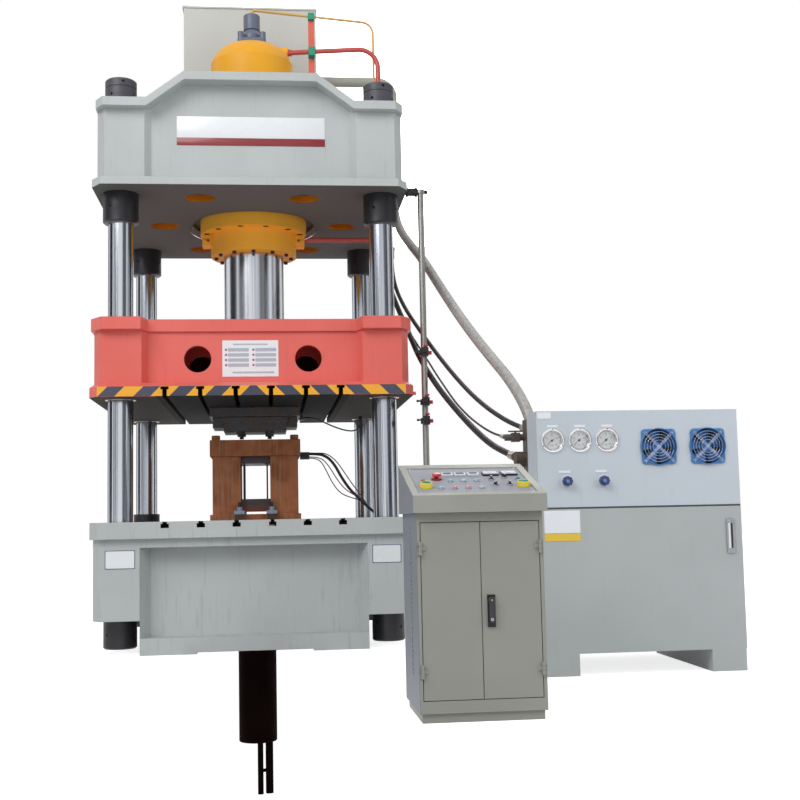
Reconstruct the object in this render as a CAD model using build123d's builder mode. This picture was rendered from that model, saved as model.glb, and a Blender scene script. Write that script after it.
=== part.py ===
"""Four-column hydraulic press with its die set, power unit and control console, in millimetres.

The origin is at the centre of the press on the floor, +Z up, and the operator stands at -Y.
"""
import os
from math import cos, radians, sin, tan

from build123d import *

os.makedirs("parts", exist_ok=True)

# Fits
slip = 0.05  # radial clearance of a round running or slip fit
gap = 0.3  # clearance between flat faces that slide or only meet

# Columns and their nuts
column_diameter = 176
column_pitch = 1850
column_chamfer = 8
column_foot = 14  # how far a column end stands short of its nut's outer face
bed_nut_diameter = 228
bed_nut_height = 198
under_nut_diameter = 248
under_nut_height = 218
top_nut_diameter = 222
top_nut_height = 199
nut_groove_depth = 4
nut_groove_width = 8
nut_chamfer = 10
tommy_hole_radius = 12
tommy_hole_depth = 16
stop_collar_diameter = 215
stop_collar_height = 70

# Bed
table_height = 890
table_thickness = 114
table_side = 185  # from the column centres to the table's edges
table_front = 278
table_cut_x = 60
table_cut_y = 100
bed_block_bottom = 230
bed_side = 165
bed_front = 238
bed_cut_x = 53
bed_cut_y = 90
bed_nut_room = 41  # between the corner nuts and the centre section
bed_wall = 50
bed_foot_thickness = 60
bed_foot_width = 378
bed_foot_rise = 12
bed_recess_bottom = 113
bed_recess_margin = 60
bed_recess_depth = 130
bed_recess_slant = 59
bed_corner_length = 425
bed_side_recess_depth = 70
bed_boss_diameter = 318
bed_rib = 40
bed_rib_spacing = 720
bed_way_diameter = 180
bed_way_spacing = 1160
bed_way_height = 470
anchor_spacing_x = 1300
anchor_spacing_y = 1800
anchor_hole_radius = 18

# T-slots, the same columns of slots above and below
slot_pitch = 240
slot_count = 6
slot_neck = 30
slot_head = 54
table_slot_neck_depth = 16
table_slot_head_height = 28
beam_slot_neck_depth = 47
beam_slot_head_height = 20

# Moving beam, at rest well above the table
daylight = 848
beam_height = 552
beam_flange_thickness = 87
beam_top_plate = 50
beam_flange_side = 185  # from the column centres to the flange's edges
beam_flange_front = 263
beam_flange_cut_x = 82
beam_flange_cut_y = 120
beam_body_side = 166
beam_body_front = 205
beam_body_cut_x = 52
beam_body_cut_y = 95
beam_lip_height = 69
beam_lip_side = 189
beam_lip_front = 272
beam_lip_cut_x = 60
beam_lip_cut_y = 90
beam_slope_height = 31
beam_front_block = 165  # from the column centres in to the recessed faces
beam_front_slant = 30
beam_flange_recess = 130
beam_body_recess = 92
beam_side_block = 305
beam_side_recess = 110
beam_wall = 45
beam_boss_diameter = 318
beam_hole_diameter = 188
beam_hole_spacing = 770
beam_hole_height = 274
beam_socket_diameter = 660
beam_socket_depth = 100
beam_rib = 40
beam_rib_spacing = 960
cable_gland = (866, 586)
cable_gland_height = 25
bush_length = 170
bush_wall = 20
bush_flange_diameter = 268
bush_flange_height = 22

# Crown
crown_clearance = 921  # between the beam and the crown at rest
crown_height = 819
crown_shoulder_height = 625
crown_plate = 56
crown_flange_side = 178  # from the column centres to the flange's edges
crown_flange_front = 280
crown_flange_cut_x = 72
crown_flange_cut_y = 110
crown_body_side = 150
crown_body_front = 196
crown_body_cut_x = 56
crown_body_cut_y = 95
crown_front_block = 184
crown_front_slant = 41
crown_front_recess = 51
crown_side_block = 305
crown_side_recess = 115
crown_cap_thickness = 62
crown_cap_side = 155
crown_cap_front = 265
crown_shoulder_block = 200  # from the column centres in to the foot of the slope
crown_top_margin = 62  # of the flat top round the cylinder's ring nut
crown_wall = 45
crown_boss_diameter = 290
crown_rib = 40
crown_rib_spacing = 960
crown_core_wall = 75
crown_disc_diameter = 1040
crown_disc_thickness = 170
crown_recess_diameter = 940
crown_recess_depth = 29
crown_window_diameter = 220
crown_windows = [(374, -834), (-374, -834), (694, 10), (-694, 10), (440, 850), (-440, 850)]
crown_way_x = 600
crown_way_y = 700
crown_way_diameter = 180

# Main cylinder and ram
ram_diameter = 468
ram_foot = 100
ram_groove_depth = 20
bore_diameter = 520
cylinder_diameter = 650
cylinder_flange_diameter = 830
cylinder_flange_thickness = 117
gland_diameter = 667
gland_height = 168
gland_lip = 20
bush_shell = 18
barrel_rise = 488  # of the straight barrel above the crown
dome_height = 162
dome_flat_diameter = 236
filling_port_diameter = 120
cylinder_head_drop = 48  # from the dome's foot to the bore's end
piston_height = 160
piston_rise = 489  # above the crown's underside
piston_clearance = 0.1
ring_nut_height = 100
ring_nut_diameter = 800
clamp_ring_diameter = 640
clamp_ring_height = 36
clamp_ring_split = 4
clamp_ring_lip = 8
flange_screw_circle = 750
gland_screw_circle = 585
screw_count = 12
flange_screw_radius = 15
gland_screw_radius = 10
screw_head_ratio = 1.5

# Filling valve on the dome
valve_base = 226
valve_base_height = 40
valve_post_radius = 24
valve_post_inset = 26
valve_post_height = 90
valve_neck_radius = 74
valve_neck_height = 133
valve_body_radius = 66
valve_body_height = 130
valve_cap_radius = 26
valve_cap_height = 12

# Oil box behind the dome
oil_box_width = 1108
oil_box_depth = 600
oil_box_front = 450
oil_box_rise = 300  # above the crown
oil_box_height = 860
oil_box_centre = -17
oil_box_wall = 8
oil_box_leg = 80
oil_box_leg_inset = 130
oil_box_lid_sheet = 16
oil_box_lid_overhang = 10

# Rigid pipes
pressure_pipe_radius = 20
pilot_pipe_radius = 10.5
feed_pipe_radius = 17.5
suction_pipe_radius = 43
pipe_wall = 3
pipe_hole_clearance = 6
post_width = 48
post_depth = 30
post_setback = 18  # past the edge of the crown's flat top
post_height = 960
pipe_drop = 150  # how far the pipes reach below the crown

# Striker and limit switches
pole_standoff = 100  # from the table's edge
pole_forward = 75  # of the front columns
pole_radius = 22
pole_end_below = 76
pole_end_above = 29
pole_bracket_height = 24
switch_offsets = [314, -40, -174]  # above and below the beam's underside at rest
switch_body = 62
switch_reach = 87
lever_length = 64
striker_radius = 12
striker_length = 20

# Ejector under the bed
ejector_diameter = 288
ejector_drop = 780
ejector_bore = 200
ejector_rod_diameter = 90
ejector_flange_diameter = 400
ejector_flange_thickness = 40
ejector_rise = 140
ejector_cap = 40
ejector_gland = 80
ejector_rod_depth = 140  # of the rod's top below the table at rest
ejector_piston = 80
ejector_rod_spots = [(16, -40), (83, -10)]
ejector_rod_radii = [21.5, 29]
ejector_guide_length = 390

# Die set
die_width = 678
die_depth = 640
die_base_height = 45
die_block_inner = 111
die_block_outer = 321
die_ledge = 30
die_top_bottom = 481
die_top_height = 123
die_stud_radius = 32
die_stud_height = 36
die_stud_x = 295
die_stud_y = 270
anvil_bottom = 67
anvil_top = 160
anvil_depth = 420
stripper_height = 52
stripper_depth = 420
guide_rod_radius = 6
guide_rod_x = 88
clamp_width = 80
bolster_height = 66
punch_height = 105
punch_width = 500
punch_depth = 460

# Console
console_x = 1006
console_front = -4353
console_width = 590
console_depth = 563
console_lip_height = 76
console_lip_top = 970
console_back_top = 1125
console_body_width = 556
console_body_inset = 33
console_plinth = 40
console_plinth_inset = 12
sheet = 2
door_bottom = 96
door_top = 851
door_width = 258
door_gap = 3
door_depth = 18
hinge_heights = [218, 742]
hinge_radius = 7
hinge_length = 60
desk_sheet = 3
desk_recess_width = 524
desk_recess_length = 470
desk_recess_start = 45
desk_recess_depth = 5
button_columns = [-215, -150, -90, -30, 32, 100, 166, 222]
palm_row = 150
small_row = 130
light_row = 260
stop_row = 298
dial_row = 378

# Power unit
unit_left = 1574
unit_front = -2958
unit_width = 1150
unit_depth = 1000
unit_height = 1451
tank_top = 918
tank_bottom = 120
tank_sheet = 6
leg_width = 196
panel_sheet = 4
panel_cheek = 250
gauge_x = [1663, 1817, 1971]
gauge_z = 1288
gauge_radius = 66
gauge_depth = 45
knob_x = [1735, 1943]
knob_z = 1060
knob_radius = 29
fan_x = [2265, 2547]
fan_z = 1245
fan_radius = 104
level_x = 2657
level_z = 743

# Places of the columns and heights of the big pieces, from the floor up
half_pitch = column_pitch / 2
column_spots = [(x, y) for x in (-half_pitch, half_pitch) for y in (-half_pitch, half_pitch)]
column_radius = column_diameter / 2
bed_body_top = table_height - table_thickness
bed_recess_top = bed_body_top - bed_recess_margin
ejector_rod_top = table_height - ejector_rod_depth
beam_bottom = table_height + daylight
beam_top = beam_bottom + beam_height
crown_bottom = beam_top + crown_clearance
crown_top = crown_bottom + crown_height
crown_shoulder = crown_bottom + crown_shoulder_height
piston_bottom = crown_bottom + piston_rise
dome_spring = crown_top + barrel_rise
dome_top = dome_spring + dome_height
cylinder_head_inside = dome_spring - cylinder_head_drop
oil_box_bottom = crown_top + oil_box_rise
oil_box_top = oil_box_bottom + oil_box_height
post_top = crown_top + post_height
pole_bottom = bed_body_top - pole_end_below
pole_top = crown_bottom + pole_end_above
switch_heights = [beam_bottom + offset for offset in switch_offsets]

# Widths and depths of the bed, the beam and the crown, round the columns
table_width = column_pitch + 2 * table_side
table_depth = column_pitch + 2 * table_front
bed_width = column_pitch + 2 * bed_side
bed_depth = column_pitch + 2 * bed_front
bed_centre_width = column_pitch - bed_nut_diameter - 2 * bed_nut_room
bed_foot_inner = bed_centre_width - 2 * bed_foot_width
bed_recess_width = bed_centre_width - 2 * bed_recess_slant
bed_side_recess_length = column_pitch - 2 * bed_corner_length
beam_flange_width = column_pitch + 2 * beam_flange_side
beam_flange_depth = column_pitch + 2 * beam_flange_front
beam_body_width = column_pitch + 2 * beam_body_side
beam_body_depth = column_pitch + 2 * beam_body_front
beam_lip_width = column_pitch + 2 * beam_lip_side
beam_lip_depth = column_pitch + 2 * beam_lip_front
beam_front_gap = column_pitch - 2 * beam_front_block
beam_side_gap = column_pitch - 2 * beam_side_block
crown_flange_width = column_pitch + 2 * crown_flange_side
crown_flange_depth = column_pitch + 2 * crown_flange_front
crown_body_width = column_pitch + 2 * crown_body_side
crown_body_depth = column_pitch + 2 * crown_body_front
crown_front_gap = column_pitch - 2 * crown_front_block
crown_side_gap = column_pitch - 2 * crown_side_block
crown_cap_width = column_pitch + 2 * crown_cap_side
crown_cap_depth = column_pitch + 2 * crown_cap_front
crown_shoulder_x = half_pitch - crown_shoulder_block
crown_top_x = ring_nut_diameter / 2 + crown_top_margin
post_x = crown_top_x + post_setback
pole_x = table_width / 2 + pole_standoff
pole_y = -(half_pitch + pole_forward)

# Heights of the cylinder's flange and gland, and the columns of T-slots
gland_bottom = crown_bottom + crown_recess_depth - cylinder_flange_thickness - gland_height
flange_bottom = gland_bottom + gland_height
flange_top = flange_bottom + cylinder_flange_thickness
slot_places = [(i - (slot_count - 1) / 2) * slot_pitch for i in range(slot_count)]


def mirrored(quarter):
    """A closed plan outline from the points of its back right quarter, back to side."""
    back_right = list(quarter)
    front_right = [(x, -y) for x, y in reversed(quarter)]
    front_left = [(-x, -y) for x, y in quarter]
    back_left = [(-x, y) for x, y in reversed(quarter)]
    return back_right + front_right + front_left + back_left


def plate_plan(width, depth, cut_x, cut_y):
    """The plan of a plate with its four corners cut."""
    x = width / 2
    y = depth / 2
    return mirrored([(x - cut_x, y), (x, y - cut_y)])


def housing_plan(width, depth, cut_x, cut_y, front, front_in, side, side_in, slant):
    """The plan of a housing with proud corner blocks and recessed faces between them."""
    x = width / 2
    y = depth / 2
    return mirrored(
        [
            (front / 2 - slant, y - front_in),
            (front / 2, y),
            (x - cut_x, y),
            (x, y - cut_y),
            (x, side / 2),
            (x - side_in, side / 2 - slant),
        ]
    )


def tommy_holes(radius, height, turn):
    """Cut four radial bar holes into each nut, at the given height."""
    for x, y in column_spots:
        for quarter in range(4):
            angle = turn + 90 * quarter
            reach = radius - tommy_hole_depth / 2
            spot = (x + reach * cos(radians(angle)), y + reach * sin(radians(angle)), height)
            with Locations(Location(spot, (0, 90, angle))):
                Cylinder(tommy_hole_radius, tommy_hole_depth + 2, mode=Mode.SUBTRACT)


def route_radii(points):
    """The corner radii of a free cord, each as large as its two runs allow."""
    radii = []
    for before, corner, after in zip(points, points[1:], points[2:]):
        run_in = Vector(*corner) - Vector(*before)
        run_out = Vector(*after) - Vector(*corner)
        half_turn = radians(run_in.get_angle(run_out)) / 2
        radii.append(0.45 * min(run_in.length, run_out.length) / tan(half_turn))
    return radii


def end_plane(start, towards):
    """A plane at a point, facing along the run to the next one."""
    return Plane(origin=start, z_dir=Vector(*towards) - Vector(*start))


# Columns: four polished bars from under the bed to above the crown
column_bottom = bed_block_bottom - bed_nut_height + column_foot
column_top = crown_shoulder + top_nut_height - column_foot
with BuildPart() as columns:
    with BuildSketch(Plane.XY.offset(column_bottom)):
        with GridLocations(column_pitch, column_pitch, 2, 2):
            Circle(column_radius)
    extrude(amount=column_top - column_bottom)
    chamfer(columns.edges().filter_by(GeomType.CIRCLE), column_chamfer)
columns.part.label = "columns"
export_step(columns.part, "parts/columns.step")

# Nuts under the bed's corner blocks
with BuildPart() as bed_nuts:
    with BuildSketch(Plane.XY.offset(bed_block_bottom - bed_nut_height)):
        with GridLocations(column_pitch, column_pitch, 2, 2):
            Circle(bed_nut_diameter / 2)
            Circle(column_radius + slip, mode=Mode.SUBTRACT)
    extrude(amount=bed_nut_height)
    rims = bed_nuts.edges().filter_by(GeomType.CIRCLE).group_by(Axis.Z)[0]
    chamfer(rims.filter_by(lambda edge: edge.radius > column_radius + slip + 1), nut_chamfer)
    tommy_holes(bed_nut_diameter / 2, bed_block_bottom - bed_nut_height / 2, 45)
bed_nuts.part.label = "bed_nuts"
export_step(bed_nuts.part, "parts/bed_nuts.step")

# Collars on the columns: four nuts that carry the crown, and a loose stop collar on the table
with BuildPart() as column_collars:
    with BuildSketch(Plane.XY.offset(crown_bottom - under_nut_height)):
        with GridLocations(column_pitch, column_pitch, 2, 2):
            Circle(under_nut_diameter / 2)
            Circle(column_radius + slip, mode=Mode.SUBTRACT)
    extrude(amount=under_nut_height)
    rims = column_collars.edges().filter_by(GeomType.CIRCLE).group_by(Axis.Z)[0]
    chamfer(rims.filter_by(lambda edge: edge.radius > column_radius + slip + 1), nut_chamfer)
    tommy_holes(under_nut_diameter / 2, crown_bottom - under_nut_height / 2, 60)
    with BuildSketch(Plane.XY.offset(table_height)):
        with Locations((-half_pitch, half_pitch)):
            Circle(stop_collar_diameter / 2)
            Circle(column_radius + slip, mode=Mode.SUBTRACT)
    extrude(amount=stop_collar_height)
column_collars.part.label = "column_collars"
export_step(column_collars.part, "parts/column_collars.step")

# Nuts above the crown: four grooved ones on its shoulders and the round one of the cylinder
with BuildPart() as crown_top_nuts:
    with BuildSketch(Plane.XY.offset(crown_shoulder)):
        with GridLocations(column_pitch, column_pitch, 2, 2):
            Circle(top_nut_diameter / 2)
            Circle(column_radius + slip, mode=Mode.SUBTRACT)
    extrude(amount=top_nut_height)
    rims = crown_top_nuts.edges().filter_by(GeomType.CIRCLE).group_by(Axis.Z)[-1]
    chamfer(rims.filter_by(lambda edge: edge.radius > column_radius + slip + 1), nut_chamfer)
    with BuildSketch(Plane.XY.offset(crown_shoulder + top_nut_height * 2 / 3)):
        with GridLocations(column_pitch, column_pitch, 2, 2):
            Circle(top_nut_diameter / 2 + 1)
            Circle(top_nut_diameter / 2 - nut_groove_depth, mode=Mode.SUBTRACT)
    extrude(amount=nut_groove_width, mode=Mode.SUBTRACT)
    tommy_holes(top_nut_diameter / 2, crown_shoulder + top_nut_height * 0.4, 60)
    tommy_holes(top_nut_diameter / 2, crown_shoulder + top_nut_height * 0.85, 15)
    with BuildSketch(Plane.XY.offset(crown_top)):
        Circle(ring_nut_diameter / 2)
        Circle(cylinder_diameter / 2 + slip, mode=Mode.SUBTRACT)
        with PolarLocations(ring_nut_diameter / 2, 8):
            Rectangle(40, 50, mode=Mode.SUBTRACT)
    extrude(amount=ring_nut_height)
crown_top_nuts.part.label = "crown_top_nuts"
export_step(crown_top_nuts.part, "parts/crown_top_nuts.step")

# Bed: table plate on four corner blocks and a centre section that stands on the floor
bed_plan = housing_plan(
    bed_width,
    bed_depth,
    bed_cut_x,
    bed_cut_y,
    bed_recess_width + 2 * bed_recess_slant,
    bed_recess_depth,
    bed_side_recess_length + 2 * bed_side_recess_depth,
    bed_side_recess_depth,
    bed_recess_slant,
)
with BuildPart() as bed:
    with BuildSketch(Plane.XY.offset(bed_block_bottom)):
        Polygon(*plate_plan(bed_width, bed_depth, bed_cut_x, bed_cut_y), align=None)
    extrude(amount=bed_body_top - bed_block_bottom)
    with BuildSketch():
        Rectangle(bed_centre_width, bed_depth)
    extrude(amount=bed_body_top)
    # Recessed panels at the front, the back and the sides
    with BuildSketch(Plane.XY.offset(bed_recess_bottom)):
        for side in (-1, 1):
            face = side * bed_depth / 2
            floor = side * (bed_depth / 2 - bed_recess_depth)
            half = bed_recess_width / 2
            wide = half + bed_recess_slant
            Polygon((-wide, face), (wide, face), (half, floor), (-half, floor), align=None)
    extrude(amount=bed_recess_top - bed_recess_bottom, mode=Mode.SUBTRACT)
    with BuildSketch(Plane.XY.offset(bed_block_bottom)):
        with GridLocations(bed_width - bed_side_recess_depth, 0, 2, 1):
            Rectangle(bed_side_recess_depth, bed_side_recess_length)
    extrude(amount=bed_recess_top - bed_block_bottom, mode=Mode.SUBTRACT)
    # Cells of the upper part, between the ribs and round the column bosses
    inner_x = bed_width / 2 - bed_side_recess_depth - bed_wall
    inner_y = bed_depth / 2 - bed_recess_depth - bed_wall
    cell_bottom = bed_block_bottom + bed_foot_thickness
    with BuildSketch(Plane.XY.offset(cell_bottom)):
        Polygon(*bed_plan, align=None)
        offset(amount=-bed_wall, kind=Kind.INTERSECTION)
        with GridLocations(column_pitch, column_pitch, 2, 2):
            Circle(bed_boss_diameter / 2, mode=Mode.SUBTRACT)
        with GridLocations(0, bed_rib_spacing, 1, 2):
            Rectangle(2 * inner_x, bed_rib, mode=Mode.SUBTRACT)
        with GridLocations(bed_centre_width - bed_wall, 0, 2, 1):
            Rectangle(bed_wall, 2 * inner_y, mode=Mode.SUBTRACT)
        with GridLocations(bed_rib_spacing, 0, 2, 1):
            Rectangle(bed_rib, 2 * inner_y, mode=Mode.SUBTRACT)
    extrude(amount=bed_body_top - cell_bottom, mode=Mode.SUBTRACT)
    # Cells of the centre section below them, between the foot plates
    inner_foot = bed_centre_width - 2 * bed_wall
    with BuildSketch(Plane.XY.offset(bed_foot_thickness)):
        Rectangle(inner_foot, 2 * inner_y)
        with GridLocations(0, bed_rib_spacing, 1, 2):
            Rectangle(inner_foot, bed_rib, mode=Mode.SUBTRACT)
        with GridLocations(bed_rib_spacing, 0, 2, 1):
            Rectangle(bed_rib, 2 * inner_y, mode=Mode.SUBTRACT)
    extrude(amount=cell_bottom - bed_foot_thickness, mode=Mode.SUBTRACT)
    # The middle of the underside is a little clear of the floor
    with BuildSketch():
        Rectangle(bed_foot_inner, bed_depth)
    extrude(amount=bed_foot_rise, mode=Mode.SUBTRACT)
    # Openings in the underside of the front and back cells
    bay = (inner_y + bed_rib_spacing / 2) / 2
    with BuildSketch():
        with GridLocations(0, 2 * bay, 1, 2):
            Rectangle(bed_rib_spacing - 2 * bed_rib, bay / 2)
    extrude(amount=bed_foot_thickness, mode=Mode.SUBTRACT)
    # Round ways through the ribs
    for side in (-1, 1):
        with Locations(Location((0, side * bed_way_spacing / 2, bed_way_height), (0, 90, 0))):
            Cylinder(bed_way_diameter / 2, 2 * inner_x - 2 * bed_wall, mode=Mode.SUBTRACT)
    with Locations(Location((0, 0, bed_way_height), (90, 0, 0))):
        Cylinder(bed_way_diameter / 2, 2 * inner_y - 2 * bed_wall, mode=Mode.SUBTRACT)
    # Table plate over everything
    with BuildSketch(Plane.XY.offset(bed_body_top)):
        Polygon(*plate_plan(table_width, table_depth, table_cut_x, table_cut_y), align=None)
    extrude(amount=table_thickness)
    # T-slots from front to back
    with BuildSketch(Plane.XY.offset(table_height - table_slot_neck_depth)):
        with GridLocations(slot_pitch, 0, slot_count, 1):
            Rectangle(slot_neck, table_depth)
    extrude(amount=table_slot_neck_depth, mode=Mode.SUBTRACT)
    head_bottom = table_height - table_slot_neck_depth - table_slot_head_height
    with BuildSketch(Plane.XY.offset(head_bottom)):
        with GridLocations(slot_pitch, 0, slot_count, 1):
            Rectangle(slot_head, table_depth)
    extrude(amount=table_slot_head_height, mode=Mode.SUBTRACT)
    # Column bores, ejector bores and anchor holes
    with BuildSketch(Plane.XY.offset(bed_block_bottom)):
        with GridLocations(column_pitch, column_pitch, 2, 2):
            Circle(column_radius + slip)
    extrude(amount=table_height - bed_block_bottom, mode=Mode.SUBTRACT)
    with BuildSketch(Plane.XY.offset(bed_body_top)):
        Circle(ejector_rod_diameter / 2 + 10)
    extrude(amount=table_thickness, mode=Mode.SUBTRACT)
    with BuildSketch():
        Circle(ejector_diameter / 2 + slip)
        with GridLocations(anchor_spacing_x, anchor_spacing_y, 2, 2):
            Circle(anchor_hole_radius)
    extrude(amount=bed_foot_thickness, mode=Mode.SUBTRACT)
bed.part.label = "bed"
export_step(bed.part, "parts/bed.step")

# Ejector cylinder: hangs from its flange in the bed's bottom plate, with two guide rods below it
ejector_top = bed_foot_thickness + ejector_rise
ejector_radius = ejector_diameter / 2
with BuildPart() as ejector_cylinder:
    with BuildSketch(Plane.XZ):
        with BuildLine():
            Polyline(
                (ejector_rod_diameter / 2 + slip, ejector_top),
                (ejector_radius, ejector_top),
                (ejector_radius, bed_foot_thickness + ejector_flange_thickness),
                (ejector_flange_diameter / 2, bed_foot_thickness + ejector_flange_thickness),
                (ejector_flange_diameter / 2, bed_foot_thickness),
                (ejector_radius, bed_foot_thickness),
                (ejector_radius, -ejector_drop),
                (0, -ejector_drop),
                (0, -ejector_drop + ejector_cap),
                (ejector_bore / 2, -ejector_drop + ejector_cap),
                (ejector_bore / 2, ejector_top - ejector_gland),
                (ejector_rod_diameter / 2 + slip, ejector_top - ejector_gland),
                close=True,
            )
        make_face()
    revolve(axis=Axis.Z)
    rim = ejector_cylinder.faces().sort_by(Axis.Z)[0].edges()
    chamfer(rim, 6)
    with BuildSketch(Plane.XY.offset(-ejector_drop)):
        with Locations(ejector_rod_spots[0]):
            Circle(ejector_rod_radii[0])
        with Locations(ejector_rod_spots[1]):
            Circle(ejector_rod_radii[1])
    extrude(amount=-ejector_guide_length)
    with Locations(Location((48, -26, -ejector_drop - ejector_guide_length * 0.56), (0, 90, 24))):
        Cylinder(13, 40)
ejector_cylinder.part.label = "ejector_cylinder"
export_step(ejector_cylinder.part, "parts/ejector_cylinder.step")

# Ejector rod with its piston
piston_rest = -ejector_drop + ejector_cap + 60
with BuildPart() as ejector_rod:
    with BuildSketch(Plane.XZ):
        with BuildLine():
            Polyline(
                (0, piston_rest),
                (ejector_bore / 2 - slip, piston_rest),
                (ejector_bore / 2 - slip, piston_rest + ejector_piston),
                (ejector_rod_diameter / 2, piston_rest + ejector_piston),
                (ejector_rod_diameter / 2, ejector_rod_top - 6),
                (ejector_rod_diameter / 2 - 6, ejector_rod_top),
                (0, ejector_rod_top),
                close=True,
            )
        make_face()
    revolve(axis=Axis.Z)
ejector_rod.part.label = "ejector_rod"
export_step(ejector_rod.part, "parts/ejector_rod.step")

# Moving beam
beam_body_top = beam_top - beam_flange_thickness
slope_bottom = beam_bottom + beam_lip_height
slope_top = slope_bottom + beam_slope_height
socket_floor = beam_top - beam_socket_depth
beam_plan = housing_plan(
    beam_body_width,
    beam_body_depth,
    beam_body_cut_x,
    beam_body_cut_y,
    beam_front_gap,
    beam_body_recess,
    beam_side_gap,
    beam_side_recess,
    beam_front_slant,
)
with BuildPart() as moving_beam:
    with BuildSketch(Plane.XY.offset(beam_bottom)):
        Polygon(*plate_plan(beam_lip_width, beam_lip_depth, beam_lip_cut_x, beam_lip_cut_y), align=None)
    extrude(amount=beam_lip_height)
    # Sloping strip from the lip up to the body
    with BuildSketch(Plane.XY.offset(slope_bottom)):
        Polygon(*plate_plan(beam_lip_width, beam_lip_depth, beam_lip_cut_x, beam_lip_cut_y), align=None)
    with BuildSketch(Plane.XY.offset(slope_top)):
        Polygon(*plate_plan(beam_body_width, beam_body_depth, beam_body_cut_x, beam_body_cut_y), align=None)
    loft()
    with BuildSketch(Plane.XY.offset(slope_top)):
        Polygon(*beam_plan, align=None)
    extrude(amount=beam_body_top - slope_top)
    with BuildSketch(Plane.XY.offset(beam_body_top)):
        Polygon(
            *housing_plan(
                beam_flange_width,
                beam_flange_depth,
                beam_flange_cut_x,
                beam_flange_cut_y,
                beam_front_gap,
                beam_flange_recess,
                beam_side_gap,
                beam_side_recess,
                beam_front_slant,
            ),
            align=None,
        )
    extrude(amount=beam_flange_thickness)
    # Cells between the walls, the ribs, the column bosses and the ram's socket
    beam_inner_x = beam_body_width / 2 - beam_side_recess - beam_wall
    beam_inner_y = beam_body_depth / 2 - beam_body_recess - beam_wall
    with BuildSketch(Plane.XY.offset(slope_top)):
        Polygon(*beam_plan, align=None)
        offset(amount=-beam_wall, kind=Kind.INTERSECTION)
        with GridLocations(column_pitch, column_pitch, 2, 2):
            Circle(beam_boss_diameter / 2, mode=Mode.SUBTRACT)
        Circle(beam_socket_diameter / 2, mode=Mode.SUBTRACT)
        with GridLocations(0, beam_rib_spacing, 1, 2):
            Rectangle(2 * beam_inner_x, beam_rib, mode=Mode.SUBTRACT)
        with GridLocations(beam_rib_spacing + 3 * slot_pitch, 0, 2, 1):
            Rectangle(beam_rib, 2 * beam_inner_y, mode=Mode.SUBTRACT)
        Rectangle(beam_rib, 2 * beam_inner_y, mode=Mode.SUBTRACT)
    extrude(amount=beam_top - beam_top_plate - slope_top, mode=Mode.SUBTRACT)
    # Two round holes right through the front, the ribs and the back
    for side in (-1, 1):
        hole = (side * beam_hole_spacing / 2, 0, beam_bottom + beam_hole_height)
        with Locations(Location(hole, (90, 0, 0))):
            Cylinder(beam_hole_diameter / 2, beam_body_depth, mode=Mode.SUBTRACT)
    # T-slots in the underside
    with BuildSketch(Plane.XY.offset(beam_bottom)):
        with GridLocations(slot_pitch, 0, slot_count, 1):
            Rectangle(slot_neck, beam_lip_depth)
    extrude(amount=beam_slot_neck_depth, mode=Mode.SUBTRACT)
    with BuildSketch(Plane.XY.offset(beam_bottom + beam_slot_neck_depth)):
        with GridLocations(slot_pitch, 0, slot_count, 1):
            Rectangle(slot_head, beam_lip_depth)
    extrude(amount=beam_slot_head_height, mode=Mode.SUBTRACT)
    # Bores for the guide bushes, with clearance for the columns between them
    with BuildSketch(Plane.XY.offset(beam_bottom)):
        with GridLocations(column_pitch, column_pitch, 2, 2):
            Circle(column_radius + slip + bush_wall)
    extrude(amount=beam_height, mode=Mode.SUBTRACT)
    # Socket for the ram
    with BuildSketch(Plane.XY.offset(socket_floor)):
        Circle(ram_diameter / 2 + slip)
    extrude(amount=beam_socket_depth, mode=Mode.SUBTRACT)
    # Striker bolt for the limit switches, on the right end
    striker_y = pole_y - switch_reach
    with Locations(Location((beam_lip_width / 2, striker_y, beam_bottom + 15), (0, 90, 0))):
        Cylinder(striker_radius, striker_length, align=(Align.CENTER, Align.CENTER, Align.MIN))
    # Gland for the upper die's cable in the underside
    with Locations((*cable_gland, beam_bottom)):
        Cylinder(14, cable_gland_height, align=(Align.CENTER, Align.CENTER, Align.MAX))
moving_beam.part.label = "moving_beam"
export_step(moving_beam.part, "parts/moving_beam.step")

# Bronze guide bushes, two to a column, with a wiper flange outside the beam
with BuildPart() as guide_bushes:
    bush_outer = column_radius + bush_wall
    bush_bore = column_radius + slip
    for start in (beam_bottom, beam_top - bush_length):
        with BuildSketch(Plane.XY.offset(start)):
            with GridLocations(column_pitch, column_pitch, 2, 2):
                Circle(bush_outer)
                Circle(bush_bore, mode=Mode.SUBTRACT)
        extrude(amount=bush_length)
    with BuildSketch(Plane.XY.offset(beam_top)):
        with GridLocations(column_pitch, column_pitch, 2, 2):
            Circle(bush_flange_diameter / 2)
            Circle(bush_bore, mode=Mode.SUBTRACT)
    extrude(amount=bush_flange_height)
guide_bushes.part.label = "guide_bushes"
export_step(guide_bushes.part, "parts/guide_bushes.step")

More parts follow.
